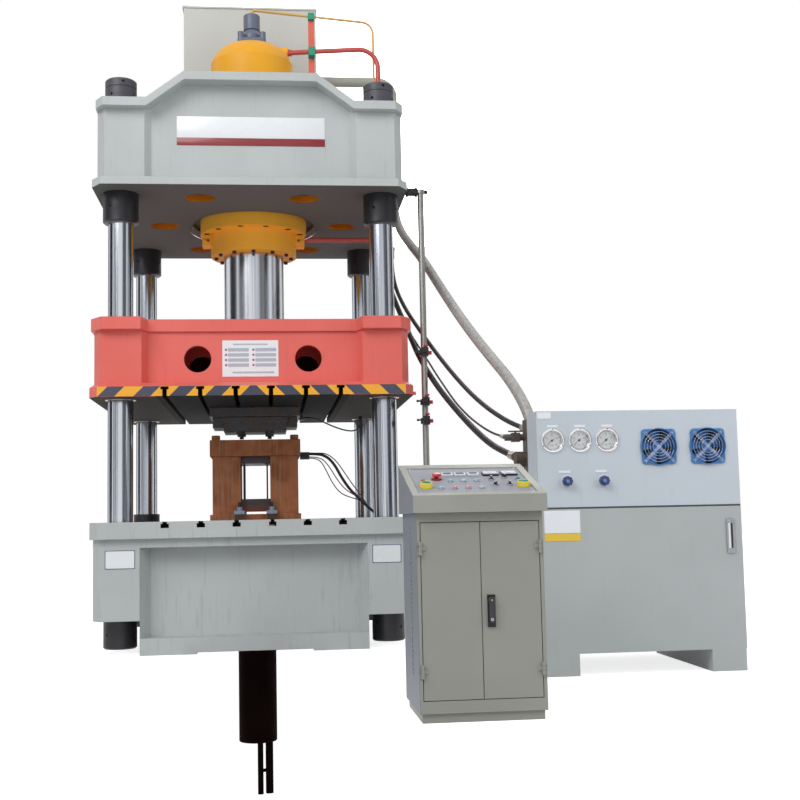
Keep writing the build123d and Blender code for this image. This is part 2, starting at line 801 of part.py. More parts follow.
# Ram with its piston in one forging, grooved for the clamp ring
ram_radius = ram_diameter / 2
groove_radius = ram_radius - ram_groove_depth
groove_bottom = beam_top + clamp_ring_lip
groove_top = beam_top + clamp_ring_height
piston_radius = bore_diameter / 2 - piston_clearance
with BuildPart() as ram:
    with BuildSketch(Plane.XZ):
        with BuildLine():
            Polyline(
                (0, beam_top - ram_foot),
                (ram_radius, beam_top - ram_foot),
                (ram_radius, groove_bottom),
                (groove_radius, groove_bottom),
                (groove_radius, groove_top),
                (ram_radius, groove_top),
                (ram_radius, piston_bottom),
                (piston_radius, piston_bottom),
                (piston_radius, piston_bottom + piston_height),
                (ram_radius - 30, piston_bottom + piston_height),
                (ram_radius - 40, piston_bottom + piston_height + 20),
                (0, piston_bottom + piston_height + 20),
                close=True,
            )
        make_face()
    revolve(axis=Axis.Z)
ram.part.label = "ram"
export_step(ram.part, "parts/ram.step")

# Split ring that clamps the ram to the beam
with BuildPart() as ram_clamp_ring:
    with BuildSketch(Plane.XZ):
        with BuildLine():
            Polyline(
                (ram_radius + slip, beam_top),
                (clamp_ring_diameter / 2, beam_top),
                (clamp_ring_diameter / 2, groove_top),
                (groove_radius + slip, groove_top),
                (groove_radius + slip, groove_bottom + slip),
                (ram_radius + slip, groove_bottom + slip),
                close=True,
            )
        make_face()
    revolve(axis=Axis.Z)
    with BuildSketch(Plane.XY.offset(beam_top)):
        Rectangle(clamp_ring_split, clamp_ring_diameter + 2)
    extrude(amount=clamp_ring_height, mode=Mode.SUBTRACT)
    with BuildSketch(Plane.XY.offset(beam_top + clamp_ring_height / 2)):
        with PolarLocations(clamp_ring_diameter / 2 - 40, 8, start_angle=22.5):
            Circle(18)
    extrude(amount=clamp_ring_height / 2, mode=Mode.SUBTRACT)
ram_clamp_ring.part.label = "ram_clamp_ring"
export_step(ram_clamp_ring.part, "parts/ram_clamp_ring.step")

# Main cylinder: flange, barrel and domed head with the filling port
barrel_radius = cylinder_diameter / 2
with BuildPart() as main_cylinder:
    with BuildSketch(Plane.XZ):
        with BuildLine():
            Polyline(
                (filling_port_diameter / 2, dome_top),
                (filling_port_diameter / 2, cylinder_head_inside),
                (bore_diameter / 2, cylinder_head_inside),
                (bore_diameter / 2, flange_bottom),
                (cylinder_flange_diameter / 2, flange_bottom),
                (cylinder_flange_diameter / 2, flange_top),
                (barrel_radius, flange_top),
                (barrel_radius, dome_spring),
            )
            shoulder = barrel_radius * 0.78
            ThreePointArc(
                (barrel_radius, dome_spring),
                (shoulder, dome_spring + (dome_top - dome_spring) * 0.68),
                (dome_flat_diameter / 2, dome_top),
            )
            Line((dome_flat_diameter / 2, dome_top), (filling_port_diameter / 2, dome_top))
        make_face()
    revolve(axis=Axis.Z)
    # Boss for the pressure pipe on the dome's right
    boss_z = dome_spring + (dome_top - dome_spring) * 0.75
    with Locations(Location((barrel_radius * 0.62, 0, boss_z), (0, 90, 0))):
        Cylinder(42, barrel_radius * 0.26, align=(Align.CENTER, Align.CENTER, Align.MIN))
    # Counterbored holes for the flange screws and tapped holes for the gland's screws
    with BuildSketch(Plane.XY.offset(flange_bottom)):
        with PolarLocations(flange_screw_circle / 2, screw_count, start_angle=15):
            Circle(flange_screw_radius * screw_head_ratio + 2)
    extrude(amount=2 * flange_screw_radius, mode=Mode.SUBTRACT)
    with BuildSketch(Plane.XY.offset(flange_bottom)):
        with PolarLocations(flange_screw_circle / 2, screw_count, start_angle=15):
            Circle(flange_screw_radius + slip)
    extrude(amount=cylinder_flange_thickness, mode=Mode.SUBTRACT)
    with BuildSketch(Plane.XY.offset(flange_bottom)):
        with PolarLocations(gland_screw_circle / 2, screw_count):
            Circle(gland_screw_radius + slip)
    extrude(amount=4 * gland_screw_radius + 2, mode=Mode.SUBTRACT)
main_cylinder.part.label = "main_cylinder"
export_step(main_cylinder.part, "parts/main_cylinder.step")

# Gland ring under the flange, with the two port lugs on its sides
gland_bore = ram_radius + slip + bush_shell
lug_z = flange_bottom - 45
with BuildPart() as gland_ring:
    with BuildSketch(Plane.XY.offset(gland_bottom)):
        Circle(gland_diameter / 2)
    extrude(amount=gland_height)
    for side in (-1, 1):
        with Locations((side * (gland_diameter / 2 + 20), -20, lug_z)):
            Box(90, 120, 88)
    with BuildSketch(Plane.XY.offset(gland_bottom)):
        Circle(ram_radius + 1)
    extrude(amount=gland_lip, mode=Mode.SUBTRACT)
    with BuildSketch(Plane.XY.offset(gland_bottom + gland_lip)):
        Circle(gland_bore)
    extrude(amount=gland_height - gland_lip, mode=Mode.SUBTRACT)
    with BuildSketch(Plane.XY.offset(gland_bottom)):
        with PolarLocations(gland_screw_circle / 2, screw_count):
            Circle(gland_screw_radius + slip)
    extrude(amount=gland_height, mode=Mode.SUBTRACT)
gland_ring.part.label = "gland_ring"
export_step(gland_ring.part, "parts/gland_ring.step")

# Bronze bush that guides the ram
with BuildPart() as ram_bush:
    with BuildSketch(Plane.XY.offset(gland_bottom + gland_lip)):
        Circle(gland_bore - slip)
        Circle(ram_radius + slip, mode=Mode.SUBTRACT)
    extrude(amount=gland_height - gland_lip)
ram_bush.part.label = "ram_bush"
export_step(ram_bush.part, "parts/ram_bush.step")

# Socket screws of the cylinder's flange and of the gland ring
crown_screw_reach = 70
with BuildPart() as cylinder_screws:
    with BuildSketch(Plane.XY.offset(flange_bottom)):
        with PolarLocations(flange_screw_circle / 2, screw_count, start_angle=15):
            Circle(flange_screw_radius * screw_head_ratio)
            RegularPolygon(flange_screw_radius * 0.75, 6, mode=Mode.SUBTRACT)
    extrude(amount=2 * flange_screw_radius)
    with BuildSketch(Plane.XY.offset(flange_bottom + flange_screw_radius)):
        with PolarLocations(flange_screw_circle / 2, screw_count, start_angle=15):
            Circle(flange_screw_radius)
    extrude(amount=flange_top + crown_screw_reach - 2 - flange_bottom - flange_screw_radius)
    with BuildSketch(Plane.XY.offset(gland_bottom - 2 * gland_screw_radius)):
        with PolarLocations(gland_screw_circle / 2, screw_count):
            Circle(gland_screw_radius * screw_head_ratio)
            RegularPolygon(gland_screw_radius * 0.75, 6, mode=Mode.SUBTRACT)
    extrude(amount=2 * gland_screw_radius)
    with BuildSketch(Plane.XY.offset(gland_bottom - gland_screw_radius)):
        with PolarLocations(gland_screw_circle / 2, screw_count):
            Circle(gland_screw_radius)
    extrude(amount=gland_height + 5 * gland_screw_radius)
cylinder_screws.part.label = "cylinder_screws"
export_step(cylinder_screws.part, "parts/cylinder_screws.step")

# Filling valve with its four bolt posts
with BuildPart() as filling_valve:
    with BuildSketch(Plane.XY.offset(dome_top)):
        RectangleRounded(valve_base, valve_base, valve_post_inset)
    extrude(amount=valve_base_height)
    post_pitch = valve_base - 2 * valve_post_inset
    with BuildSketch(Plane.XY.offset(dome_top + valve_base_height)):
        with GridLocations(post_pitch, post_pitch, 2, 2):
            Circle(valve_post_radius)
    extrude(amount=valve_post_height - valve_base_height)
    with BuildSketch(Plane.XY.offset(dome_top + valve_base_height)):
        Circle(valve_neck_radius)
    neck_height = valve_neck_height - valve_base_height
    extrude(amount=neck_height * 0.55)
    with BuildSketch(Plane.XY.offset(dome_top + valve_base_height + neck_height * 0.55)):
        Circle(valve_neck_radius)
    with BuildSketch(Plane.XY.offset(dome_top + valve_neck_height)):
        Circle(valve_body_radius * 0.85)
    loft()
    with BuildSketch(Plane.XY.offset(dome_top + valve_neck_height)):
        Circle(valve_body_radius)
    extrude(amount=valve_body_height)
    crown_rim = filling_valve.faces().sort_by(Axis.Z)[-1].edges()
    fillet(crown_rim, 14)
    with BuildSketch(Plane.XY.offset(dome_top + valve_neck_height + valve_body_height)):
        Circle(valve_cap_radius)
    extrude(amount=valve_cap_height)
    with BuildSketch(Plane.XY.offset(dome_top)):
        Circle(filling_port_diameter / 2)
    extrude(amount=valve_base_height, mode=Mode.SUBTRACT)
filling_valve.part.label = "filling_valve"
export_step(filling_valve.part, "parts/filling_valve.step")
valve_top = dome_top + valve_neck_height + valve_body_height + valve_cap_height

# Crown: the plates, walls and ribs round the cylinder and the columns
pipe_x = crown_body_width / 2 - 60
pilot_x = crown_body_width / 2 - 90
pilot_y = 60
elevation = [
    (-crown_cap_width / 2, crown_shoulder),
    (-crown_shoulder_x, crown_shoulder),
    (-crown_top_x, crown_top),
    (crown_top_x, crown_top),
    (crown_shoulder_x, crown_shoulder),
    (crown_cap_width / 2, crown_shoulder),
]
under_cap = [(x, z - crown_cap_thickness) for x, z in elevation]
crown_plan = housing_plan(
    crown_body_width,
    crown_body_depth,
    crown_body_cut_x,
    crown_body_cut_y,
    crown_front_gap,
    crown_front_recess,
    crown_side_gap,
    crown_side_recess,
    crown_front_slant,
)
with BuildPart() as crown_cells:
    crown_inner_x = crown_body_width / 2 - crown_side_recess - crown_wall
    crown_inner_y = crown_body_depth / 2 - crown_front_recess - crown_wall
    with BuildSketch(Plane.XY.offset(crown_bottom + crown_plate)):
        Polygon(*crown_plan, align=None)
        offset(amount=-crown_wall, kind=Kind.INTERSECTION)
        with GridLocations(column_pitch, column_pitch, 2, 2):
            Circle(crown_boss_diameter / 2, mode=Mode.SUBTRACT)
        Circle(barrel_radius + crown_core_wall, mode=Mode.SUBTRACT)
        with GridLocations(0, crown_rib_spacing, 1, 2):
            Rectangle(2 * crown_inner_x, crown_rib, mode=Mode.SUBTRACT)
        Rectangle(crown_rib, 2 * crown_inner_y, mode=Mode.SUBTRACT)
    extrude(amount=crown_height)
    with BuildSketch(Plane.XZ):
        Polygon(
            (-crown_cap_width / 2, crown_bottom),
            *under_cap,
            (crown_cap_width / 2, crown_bottom),
            align=None,
        )
    extrude(amount=crown_cap_depth, both=True, mode=Mode.INTERSECT)
with BuildPart() as crown_cap:
    with BuildSketch(Plane.XZ):
        Polygon(*elevation, *reversed(under_cap), align=None)
    extrude(amount=crown_cap_depth / 2, both=True)
    with BuildSketch(Plane.XY.offset(crown_bottom)):
        Polygon(
            *plate_plan(crown_cap_width, crown_cap_depth, crown_body_cut_x, crown_body_cut_y),
            align=None,
        )
    extrude(amount=crown_height, mode=Mode.INTERSECT)
with BuildPart() as crown:
    with BuildSketch(Plane.XY.offset(crown_bottom)):
        Polygon(*crown_plan, align=None)
    extrude(amount=crown_height)
    with BuildSketch(Plane.XZ):
        Polygon(
            (-crown_cap_width / 2, crown_bottom),
            *elevation,
            (crown_cap_width / 2, crown_bottom),
            align=None,
        )
    extrude(amount=crown_cap_depth, both=True, mode=Mode.INTERSECT)
    with BuildSketch(Plane.XY.offset(crown_bottom)):
        Polygon(
            *plate_plan(crown_flange_width, crown_flange_depth, crown_flange_cut_x, crown_flange_cut_y),
            align=None,
        )
    extrude(amount=crown_plate)
    add(crown_cells.part, mode=Mode.SUBTRACT)
    add(crown_cap.part)
    # Thick disc that takes the cylinder's flange
    with BuildSketch(Plane.XY.offset(crown_bottom)):
        Circle(crown_disc_diameter / 2)
    extrude(amount=crown_disc_thickness)
    with BuildSketch(Plane.XY.offset(crown_bottom)):
        Circle(crown_recess_diameter / 2)
    extrude(amount=crown_recess_depth, mode=Mode.SUBTRACT)
    with BuildSketch(Plane.XY.offset(crown_bottom)):
        Circle(barrel_radius + slip)
        with GridLocations(column_pitch, column_pitch, 2, 2):
            Circle(column_radius + slip)
        with Locations((pipe_x, 0)):
            Circle(pressure_pipe_radius + pipe_hole_clearance)
        with Locations((pilot_x, pilot_y)):
            Circle(pilot_pipe_radius + pipe_hole_clearance)
    extrude(amount=crown_height, mode=Mode.SUBTRACT)
    with BuildSketch(Plane.XY.offset(crown_bottom)):
        with Locations(*crown_windows):
            Circle(crown_window_diameter / 2)
    extrude(amount=crown_plate, mode=Mode.SUBTRACT)
    with BuildSketch(Plane.XY.offset(flange_top)):
        with PolarLocations(flange_screw_circle / 2, screw_count, start_angle=15):
            Circle(flange_screw_radius + slip)
    extrude(amount=crown_screw_reach, mode=Mode.SUBTRACT)
    # Round ways through the ribs
    for side in (-1, 1):
        way = (side * crown_way_x, 0, crown_bottom + crown_shoulder_height / 2)
        with Locations(Location(way, (90, 0, 0))):
            Cylinder(crown_way_diameter / 2, 2 * crown_inner_y - 2 * crown_wall, mode=Mode.SUBTRACT)
        way = (0, side * crown_way_y, crown_bottom + crown_shoulder_height / 2)
        with Locations(Location(way, (0, 90, 0))):
            Cylinder(crown_way_diameter / 2, 1.5 * crown_rib, mode=Mode.SUBTRACT)
crown.part.label = "crown"
export_step(crown.part, "parts/crown.step")

# Oil box behind the dome, on four legs, with its lid
box_x = oil_box_centre
box_y = oil_box_front + oil_box_depth / 2
suction_z = oil_box_bottom + 331
suction_y = 700
suction_x = 1200
suction_bend = 130
suction_flange = 32
suction_flange_height = 18
suction_joint_rise = 64
bracket_drop = 60
bracket_width = 60
bracket_height = 50
bracket_collar = 12
with BuildPart() as oil_box:
    with BuildSketch(Plane.XY.offset(oil_box_bottom)):
        with Locations((box_x, box_y)):
            Rectangle(oil_box_width, oil_box_depth)
    extrude(amount=oil_box_height)
    with BuildSketch(Plane.XY.offset(oil_box_bottom + oil_box_wall)):
        with Locations((box_x, box_y)):
            Rectangle(oil_box_width - 2 * oil_box_wall, oil_box_depth - 2 * oil_box_wall)
    extrude(amount=oil_box_height, mode=Mode.SUBTRACT)
    leg_x = oil_box_width - 2 * oil_box_leg_inset - oil_box_leg
    leg_y = oil_box_depth - oil_box_leg - 40
    with BuildSketch(Plane.XY.offset(crown_top)):
        with Locations((box_x, box_y)):
            with GridLocations(leg_x, leg_y, 2, 2):
                Rectangle(oil_box_leg, oil_box_leg)
    extrude(amount=oil_box_bottom - crown_top)
    outlet = (box_x + oil_box_width / 2, suction_y, suction_z)
    with Locations(Location(outlet, (0, 90, 0))):
        Cylinder(suction_pipe_radius - pipe_wall, 4 * oil_box_wall, mode=Mode.SUBTRACT)
    with BuildSketch(Plane.XY.offset(oil_box_top)):
        with Locations((box_x, box_y)):
            Rectangle(oil_box_width + 2 * oil_box_lid_overhang, oil_box_depth + 2 * oil_box_lid_overhang)
    extrude(amount=oil_box_lid_sheet)
oil_box.part.label = "oil_box"
export_step(oil_box.part, "parts/oil_box.step")

# Suction pipe from the oil box down the crown's right side, with its flange and bracket
suction_start = (outlet[0], suction_y, suction_z)
suction_corner = (suction_x, suction_y, suction_z)
suction_end = (suction_x, suction_y, crown_shoulder + suction_joint_rise)
with BuildPart() as suction_pipe:
    with BuildLine():
        FilletPolyline(suction_start, suction_corner, suction_end, radius=suction_bend)
    with BuildSketch(end_plane(suction_start, suction_corner)):
        Circle(suction_pipe_radius)
        Circle(suction_pipe_radius - pipe_wall, mode=Mode.SUBTRACT)
    sweep()
    with BuildSketch(end_plane(suction_start, suction_corner)):
        Circle(suction_pipe_radius + suction_flange)
        Circle(suction_pipe_radius - pipe_wall, mode=Mode.SUBTRACT)
    extrude(amount=suction_flange_height)
    # Bracket from the pipe's foot down and across to the crown's corner block
    bracket_reach = suction_x - crown_body_width / 2
    bracket_plane = Plane.XY.offset(crown_shoulder - crown_cap_thickness - bracket_drop)
    with BuildSketch(bracket_plane):
        with Locations((suction_x, suction_y)):
            Circle(suction_pipe_radius + bracket_collar)
        with Locations((suction_x - bracket_reach / 2, suction_y)):
            Rectangle(bracket_reach, bracket_width)
        with Locations((suction_x, suction_y)):
            Circle(suction_pipe_radius - pipe_wall, mode=Mode.SUBTRACT)
    extrude(amount=bracket_height)
    with BuildSketch(bracket_plane):
        with Locations((suction_x, suction_y)):
            Circle(suction_pipe_radius)
            Circle(suction_pipe_radius - pipe_wall, mode=Mode.SUBTRACT)
    extrude(amount=suction_end[2] - bracket_plane.origin.Z)
suction_pipe.part.label = "suction_pipe"
export_step(suction_pipe.part, "parts/suction_pipe.step")
suction_foot = (suction_x, suction_y, bracket_plane.origin.Z)

# Pressure, pilot and feed pipes: straight runs and bends, with a union nut at each end
boss_face = barrel_radius * 0.88
pipe_end = crown_bottom - pipe_drop
lug_face = gland_diameter / 2 + 65
feed_z = lug_z + 12
feed_x = 1090
feed_y = -52
pipes = [
    (
        (1, 0, 0),
        [(boss_face, 0, boss_z), (pipe_x, 0, boss_z + 50), (pipe_x, 0, pipe_end)],
        [150],
        pressure_pipe_radius,
    ),
    (
        (0, 0, 1),
        [
            (0, 0, valve_top),
            (0, 0, valve_top + 35),
            (pilot_x, pilot_y, valve_top - 28),
            (pilot_x, pilot_y, pipe_end),
        ],
        [28, 95],
        pilot_pipe_radius,
    ),
    (
        (1, 0, 0),
        [(lug_face, feed_y, feed_z), (feed_x, feed_y, feed_z), (feed_x, feed_y, feed_z - 82)],
        [45],
        feed_pipe_radius,
    ),
]
with BuildPart() as rigid_pipes:
    for outward, points, bends, radius in pipes:
        with BuildLine():
            FilletPolyline(*points, radius=bends)
        with BuildSketch(end_plane(points[0], points[1])):
            Circle(radius)
        sweep()
        with BuildSketch(end_plane(points[-1], points[-2])):
            RegularPolygon(radius * 1.5, 6)
        extrude(amount=1.6 * radius)
        with BuildSketch(Plane(origin=points[0], z_dir=outward)):
            RegularPolygon(radius * 1.5, 6)
        extrude(amount=1.6 * radius)
        with BuildSketch(Plane(origin=points[0], z_dir=outward)):
            Circle(radius * 2)
        extrude(amount=-radius, mode=Mode.SUBTRACT)
rigid_pipes.part.label = "rigid_pipes"
export_step(rigid_pipes.part, "parts/rigid_pipes.step")

# Post on the crown's shoulder slope that carries the two upper pipes in their clips
slope = (crown_top - crown_shoulder) / (crown_shoulder_x - crown_top_x)
share = post_x / pilot_x
pilot_at_post = (post_x, pilot_y * share, valve_top + 35 - 63 * share)
pressure_share = (post_x - boss_face) / (pipe_x - boss_face)
pressure_at_post = (post_x, 0, boss_z + 50 * pressure_share)
post_front = pilot_at_post[1] + pilot_pipe_radius + 3
with BuildPart() as pipe_post:
    left = post_x - post_width / 2
    right = post_x + post_width / 2
    with BuildSketch(Plane.XZ.offset(-post_front)):
        Polygon(
            (left, crown_top),
            (crown_top_x, crown_top),
            (right, crown_top - (right - crown_top_x) * slope),
            (right, post_top),
            (left, post_top),
            align=None,
        )
    extrude(amount=-post_depth)
    for spot, radius in ((pilot_at_post, pilot_pipe_radius), (pressure_at_post, pressure_pipe_radius)):
        depth = post_front - spot[1] + radius + 8
        with Locations((spot[0], post_front - depth / 2, spot[2])):
            Box(post_width + 4, depth, 2 * radius + 34)
        with Locations(Location(spot, (0, 90, 0))):
            Cylinder(radius + 3, 2 * post_width, mode=Mode.SUBTRACT)
pipe_post.part.label = "pipe_post"
export_step(pipe_post.part, "parts/pipe_post.step")

# Switch pole with its brackets to the crown's flange and the table's edge
with BuildPart() as switch_pole:
    with BuildSketch(Plane.XY.offset(pole_bottom)):
        with Locations((pole_x, pole_y)):
            Circle(pole_radius)
    extrude(amount=pole_top - pole_bottom)
    for edge, height in ((crown_flange_width / 2, crown_bottom), (table_width / 2, bed_body_top + 20)):
        reach = pole_x - edge
        with BuildSketch(Plane.XY.offset(height)):
            with Locations((edge + reach / 2, pole_y)):
                Rectangle(reach, 50)
            with Locations((pole_x, pole_y)):
                Circle(pole_radius + 12)
        extrude(amount=pole_bracket_height)
switch_pole.part.label = "switch_pole"
export_step(switch_pole.part, "parts/switch_pole.step")

# Three limit switches clamped to the pole, each with its roller lever and star knob
lever_y = pole_y - switch_reach
roller_radius = 9
with BuildPart() as limit_switches:
    for height in switch_heights:
        with BuildSketch(Plane.XY.offset(height - 20)):
            with Locations((pole_x, pole_y)):
                Circle(pole_radius + 12)
                Circle(pole_radius + slip, mode=Mode.SUBTRACT)
        extrude(amount=40)
        body_depth = switch_reach - pole_radius - 10 - 8
        with Locations((pole_x, pole_y - pole_radius - 10 - body_depth / 2, height)):
            Box(46, body_depth, switch_body)
        with Locations(Location((pole_x + pole_radius + 20, pole_y, height), (0, 90, 0))):
            Cylinder(14, 24)
        with Locations(Location((pole_x, lever_y, height), (90, 0, 0))):
            Cylinder(roller_radius, 20)
        with Locations((pole_x - lever_length / 2, lever_y, height)):
            Box(lever_length, 5, 12)
        with Locations(Location((pole_x - lever_length, lever_y, height), (90, 0, 0))):
            Cylinder(roller_radius, 10)
limit_switches.part.label = "limit_switches"
export_step(limit_switches.part, "parts/limit_switches.step")

# Lower die: base, two side blocks, top plate and studs
die_front = die_depth / 2
block_width = die_block_outer - die_block_inner
with BuildPart() as lower_die:
    with BuildSketch(Plane.XY.offset(table_height)):
        Rectangle(die_width, die_depth)
    extrude(amount=die_base_height)
    with BuildSketch(Plane.XY.offset(table_height + die_base_height)):
        with GridLocations(die_block_inner + die_block_outer, 0, 2, 1):
            Rectangle(block_width, die_depth - 2 * die_ledge)
    extrude(amount=die_top_bottom - die_base_height)
    with BuildSketch(Plane.XY.offset(table_height + die_top_bottom)):
        Rectangle(die_width, die_depth)
    extrude(amount=die_top_height)
    with BuildSketch(Plane.XY.offset(table_height + die_top_bottom + die_top_height)):
        with GridLocations(2 * die_stud_x, 2 * die_stud_y, 2, 2):
            Circle(die_stud_radius)
    extrude(amount=die_stud_height)
    with BuildSketch(Plane.XY.offset(table_height + die_top_bottom)):
        Rectangle(0.7 * punch_width, 0.5 * punch_depth)
    extrude(amount=die_top_height, mode=Mode.SUBTRACT)
    chamfer(lower_die.faces().sort_by(Axis.Z)[-4:].edges(), 4)
lower_die.part.label = "lower_die"
export_step(lower_die.part, "parts/lower_die.step")

# Anvil in the die's window, with the guide rods on it that carry the stripper bar
with BuildPart() as die_inserts:
    with BuildSketch(Plane.XY.offset(table_height + anvil_bottom)):
        Rectangle(2 * die_block_inner, anvil_depth)
    extrude(amount=anvil_top - anvil_bottom)
    with BuildSketch(Plane.XY.offset(table_height + anvil_top)):
        with GridLocations(2 * guide_rod_x, stripper_depth - 60, 2, 2):
            Circle(guide_rod_radius)
    extrude(amount=die_top_bottom - anvil_top - stripper_height)
    with BuildSketch(Plane.XY.offset(table_height + die_top_bottom - stripper_height)):
        Rectangle(2 * die_block_inner, stripper_depth)
    extrude(amount=stripper_height)
die_inserts.part.label = "die_inserts"
export_step(die_inserts.part, "parts/die_inserts.step")

# Strap clamps that hold the die's base down from the T-slots, front and back
strap_length = 110
strap_height = 26
stud_radius = 11
with BuildPart() as die_clamps:
    for side in (-1, 1):
        heel_y = side * (die_front + strap_length - 30)
        strap_y = side * (die_front - die_ledge + 2 + strap_length / 2)
        stud_y = side * (die_front + 22)
        for x in (slot_places[2], slot_places[3]):
            with Locations((x, heel_y, table_height + die_base_height / 2)):
                Box(clamp_width * 0.8, 26, die_base_height)
            with Locations((x, strap_y, table_height + die_base_height + strap_height / 2)):
                Box(clamp_width, strap_length, strap_height)
            with Locations((x, stud_y, table_height - table_slot_neck_depth)):
                Cylinder(stud_radius, 150, align=(Align.CENTER, Align.CENTER, Align.MIN))
            with Locations((x, stud_y, table_height + die_base_height + strap_height + 14)):
                Cylinder(22, 28)
            head = table_slot_head_height - 4
            with Locations((x, stud_y, table_height - table_slot_neck_depth - head / 2)):
                Box(slot_head - 6, slot_head - 6, head)
die_clamps.part.label = "die_clamps"
export_step(die_clamps.part, "parts/die_clamps.step")

# Upper die: bolster bolted to the beam, punch block and its two front bolts
punch_bottom = beam_bottom - bolster_height - punch_height
upper_boot = 40
upper_cable_y = 250
with BuildPart() as upper_bolster:
    with BuildSketch(Plane.XY.offset(beam_bottom - bolster_height)):
        Rectangle(die_width, die_depth)
    extrude(amount=bolster_height)
    with Locations((die_width / 2 + upper_boot / 2, upper_cable_y, beam_bottom - bolster_height / 2)):
        Box(upper_boot, 44, 40)
upper_bolster.part.label = "upper_bolster"
export_step(upper_bolster.part, "parts/upper_bolster.step")

with BuildPart() as upper_die:
    with BuildSketch(Plane.XY.offset(punch_bottom)):
        Rectangle(punch_width - 24, punch_depth - 24)
    extrude(amount=punch_height * 0.6)
    with BuildSketch(Plane.XY.offset(punch_bottom + punch_height * 0.6)):
        Rectangle(punch_width, punch_depth)
    extrude(amount=punch_height * 0.4)
    with BuildSketch(Plane.XY.offset(punch_bottom + punch_height * 0.3)):
        with GridLocations(punch_width + 60, 0, 2, 1):
            Rectangle(84, punch_depth * 0.8)
    extrude(amount=punch_height * 0.7)
    for x in (-110, 110):
        for y in (-160, 160):
            with Locations((x, y, punch_bottom - 9)):
                Cylinder(34, 18)
            with Locations((x, y, punch_bottom - 27)):
                Cylinder(17, 20)
upper_die.part.label = "upper_die"
export_step(upper_die.part, "parts/upper_die.step")

# Console cabinet: sheet body on a plinth, with the door opening and the fixed hinge knuckles
body_front = console_front + console_body_inset
console_back = console_front + console_depth
body_mid = (body_front + console_back) / 2
body_depth = console_back - body_front
cabinet_top = console_lip_top - console_lip_height
door_span = 2 * door_width + door_gap
opening_width = door_span + 2 * door_gap
hinge_y = body_front - hinge_radius - 1
hinge_x = opening_width / 2
hinge_pin = 3
with BuildPart() as console_cabinet:
    with BuildSketch(Plane.XY.offset(console_plinth)):
        with Locations((console_x, body_mid)):
            Rectangle(console_body_width, body_depth)
    extrude(amount=cabinet_top - console_plinth)
    with BuildSketch(Plane.XY.offset(console_plinth + sheet)):
        with Locations((console_x, body_mid)):
            Rectangle(console_body_width - 2 * sheet, body_depth - 2 * sheet)
    extrude(amount=cabinet_top - console_plinth - 2 * sheet, mode=Mode.SUBTRACT)
    with BuildSketch(Plane.XZ.offset(-body_front)):
        with Locations((console_x, (door_bottom + door_top) / 2)):
            Rectangle(opening_width, door_top - door_bottom + 2 * door_gap)
    extrude(amount=-2 * sheet, mode=Mode.SUBTRACT)
    with BuildSketch():
        with Locations((console_x, body_mid)):
            Rectangle(console_body_width - 2 * console_plinth_inset, body_depth - 2 * console_plinth_inset)
            Rectangle(
                console_body_width - 2 * console_plinth_inset - 60,
                body_depth - 2 * console_plinth_inset - 60,
                mode=Mode.SUBTRACT,
            )
    extrude(amount=console_plinth)
    with BuildSketch(Plane.XY.offset(cabinet_top - sheet)):
        with Locations((console_x, body_mid)):
            Rectangle(console_body_width - 160, body_depth - 160)
    extrude(amount=sheet, mode=Mode.SUBTRACT)
    for side in (-1, 1):
        for height in hinge_heights:
            for end in (-1, 1):
                knuckle = (console_x + side * hinge_x, hinge_y, height + end * hinge_length / 3)
                with Locations(knuckle):
                    Cylinder(hinge_radius, hinge_length / 3 - 1)
                leaf_x = console_x + side * (hinge_x + console_body_width / 2) / 2
                leaf_width = console_body_width / 2 - hinge_x
                with Locations((leaf_x, body_front - 2, knuckle[2])):
                    Box(leaf_width, 4, hinge_length / 3 - 1)
            with Locations((console_x + side * hinge_x, hinge_y, height)):
                Cylinder(hinge_pin, hinge_length)
console_cabinet.part.label = "console_cabinet"
export_step(console_cabinet.part, "parts/console_cabinet.step")

# Cabinet doors: folded pans with their own hinge knuckles, the right one with the handle's plate
handle_x = console_x + 41
handle_pivot_z = 515
handle_pin_radius = 5
handle_plate_width = 34
handle_plate_height = 138
handle_plate_depth = 8
handle_plate_drop = 46
handle_eye_radius = 16
handle_width = 22
handle_length = 98
handle_drop = 49
handle_thickness = 16
for name, side in (("door_left", -1), ("door_right", 1)):
    with BuildPart() as door:
        door_x = console_x + side * (door_width + door_gap) / 2
        door_z = (door_bottom + door_top) / 2
        with Locations((door_x, body_front + door_depth / 2, door_z)):
            Box(door_width, door_depth, door_top - door_bottom)
        with Locations((door_x, body_front + sheet + door_depth / 2, door_z)):
            Box(door_width - 2 * sheet, door_depth, door_top - door_bottom - 2 * sheet, mode=Mode.SUBTRACT)
        for height in hinge_heights:
            with Locations((console_x + side * (hinge_x - 12), body_front - 2, height)):
                Box(24, 4, hinge_length / 3 - 1)
            with Locations((console_x + side * hinge_x, hinge_y, height)):
                Cylinder(hinge_radius, hinge_length / 3 - 1)
                Cylinder(hinge_pin + slip, hinge_length, mode=Mode.SUBTRACT)
        if side == 1:
            plate_y = body_front - handle_plate_depth / 2
            with Locations((handle_x, plate_y, handle_pivot_z - handle_plate_drop)):
                Box(handle_plate_width, handle_plate_depth, handle_plate_height)
            with Locations(Location((handle_x, body_front - 14, handle_pivot_z), (90, 0, 0))):
                Cylinder(handle_pin_radius, 28)
    door.part.label = name
    export_step(door.part, f"parts/{name}.step")

# Swing handle on the right door
handle_front = body_front - handle_plate_depth - gap
with BuildPart() as door_handle:
    with BuildSketch(Plane.XZ.offset(-handle_front)):
        with Locations((handle_x, handle_pivot_z)):
            Circle(handle_eye_radius)
        with Locations((handle_x, handle_pivot_z - handle_drop)):
            Rectangle(handle_width, handle_length)
        with Locations((handle_x, handle_pivot_z)):
            Circle(handle_pin_radius + slip, mode=Mode.SUBTRACT)
    extrude(amount=handle_thickness)
door_handle.part.label = "door_handle"
export_step(door_handle.part, "parts/door_handle.step")

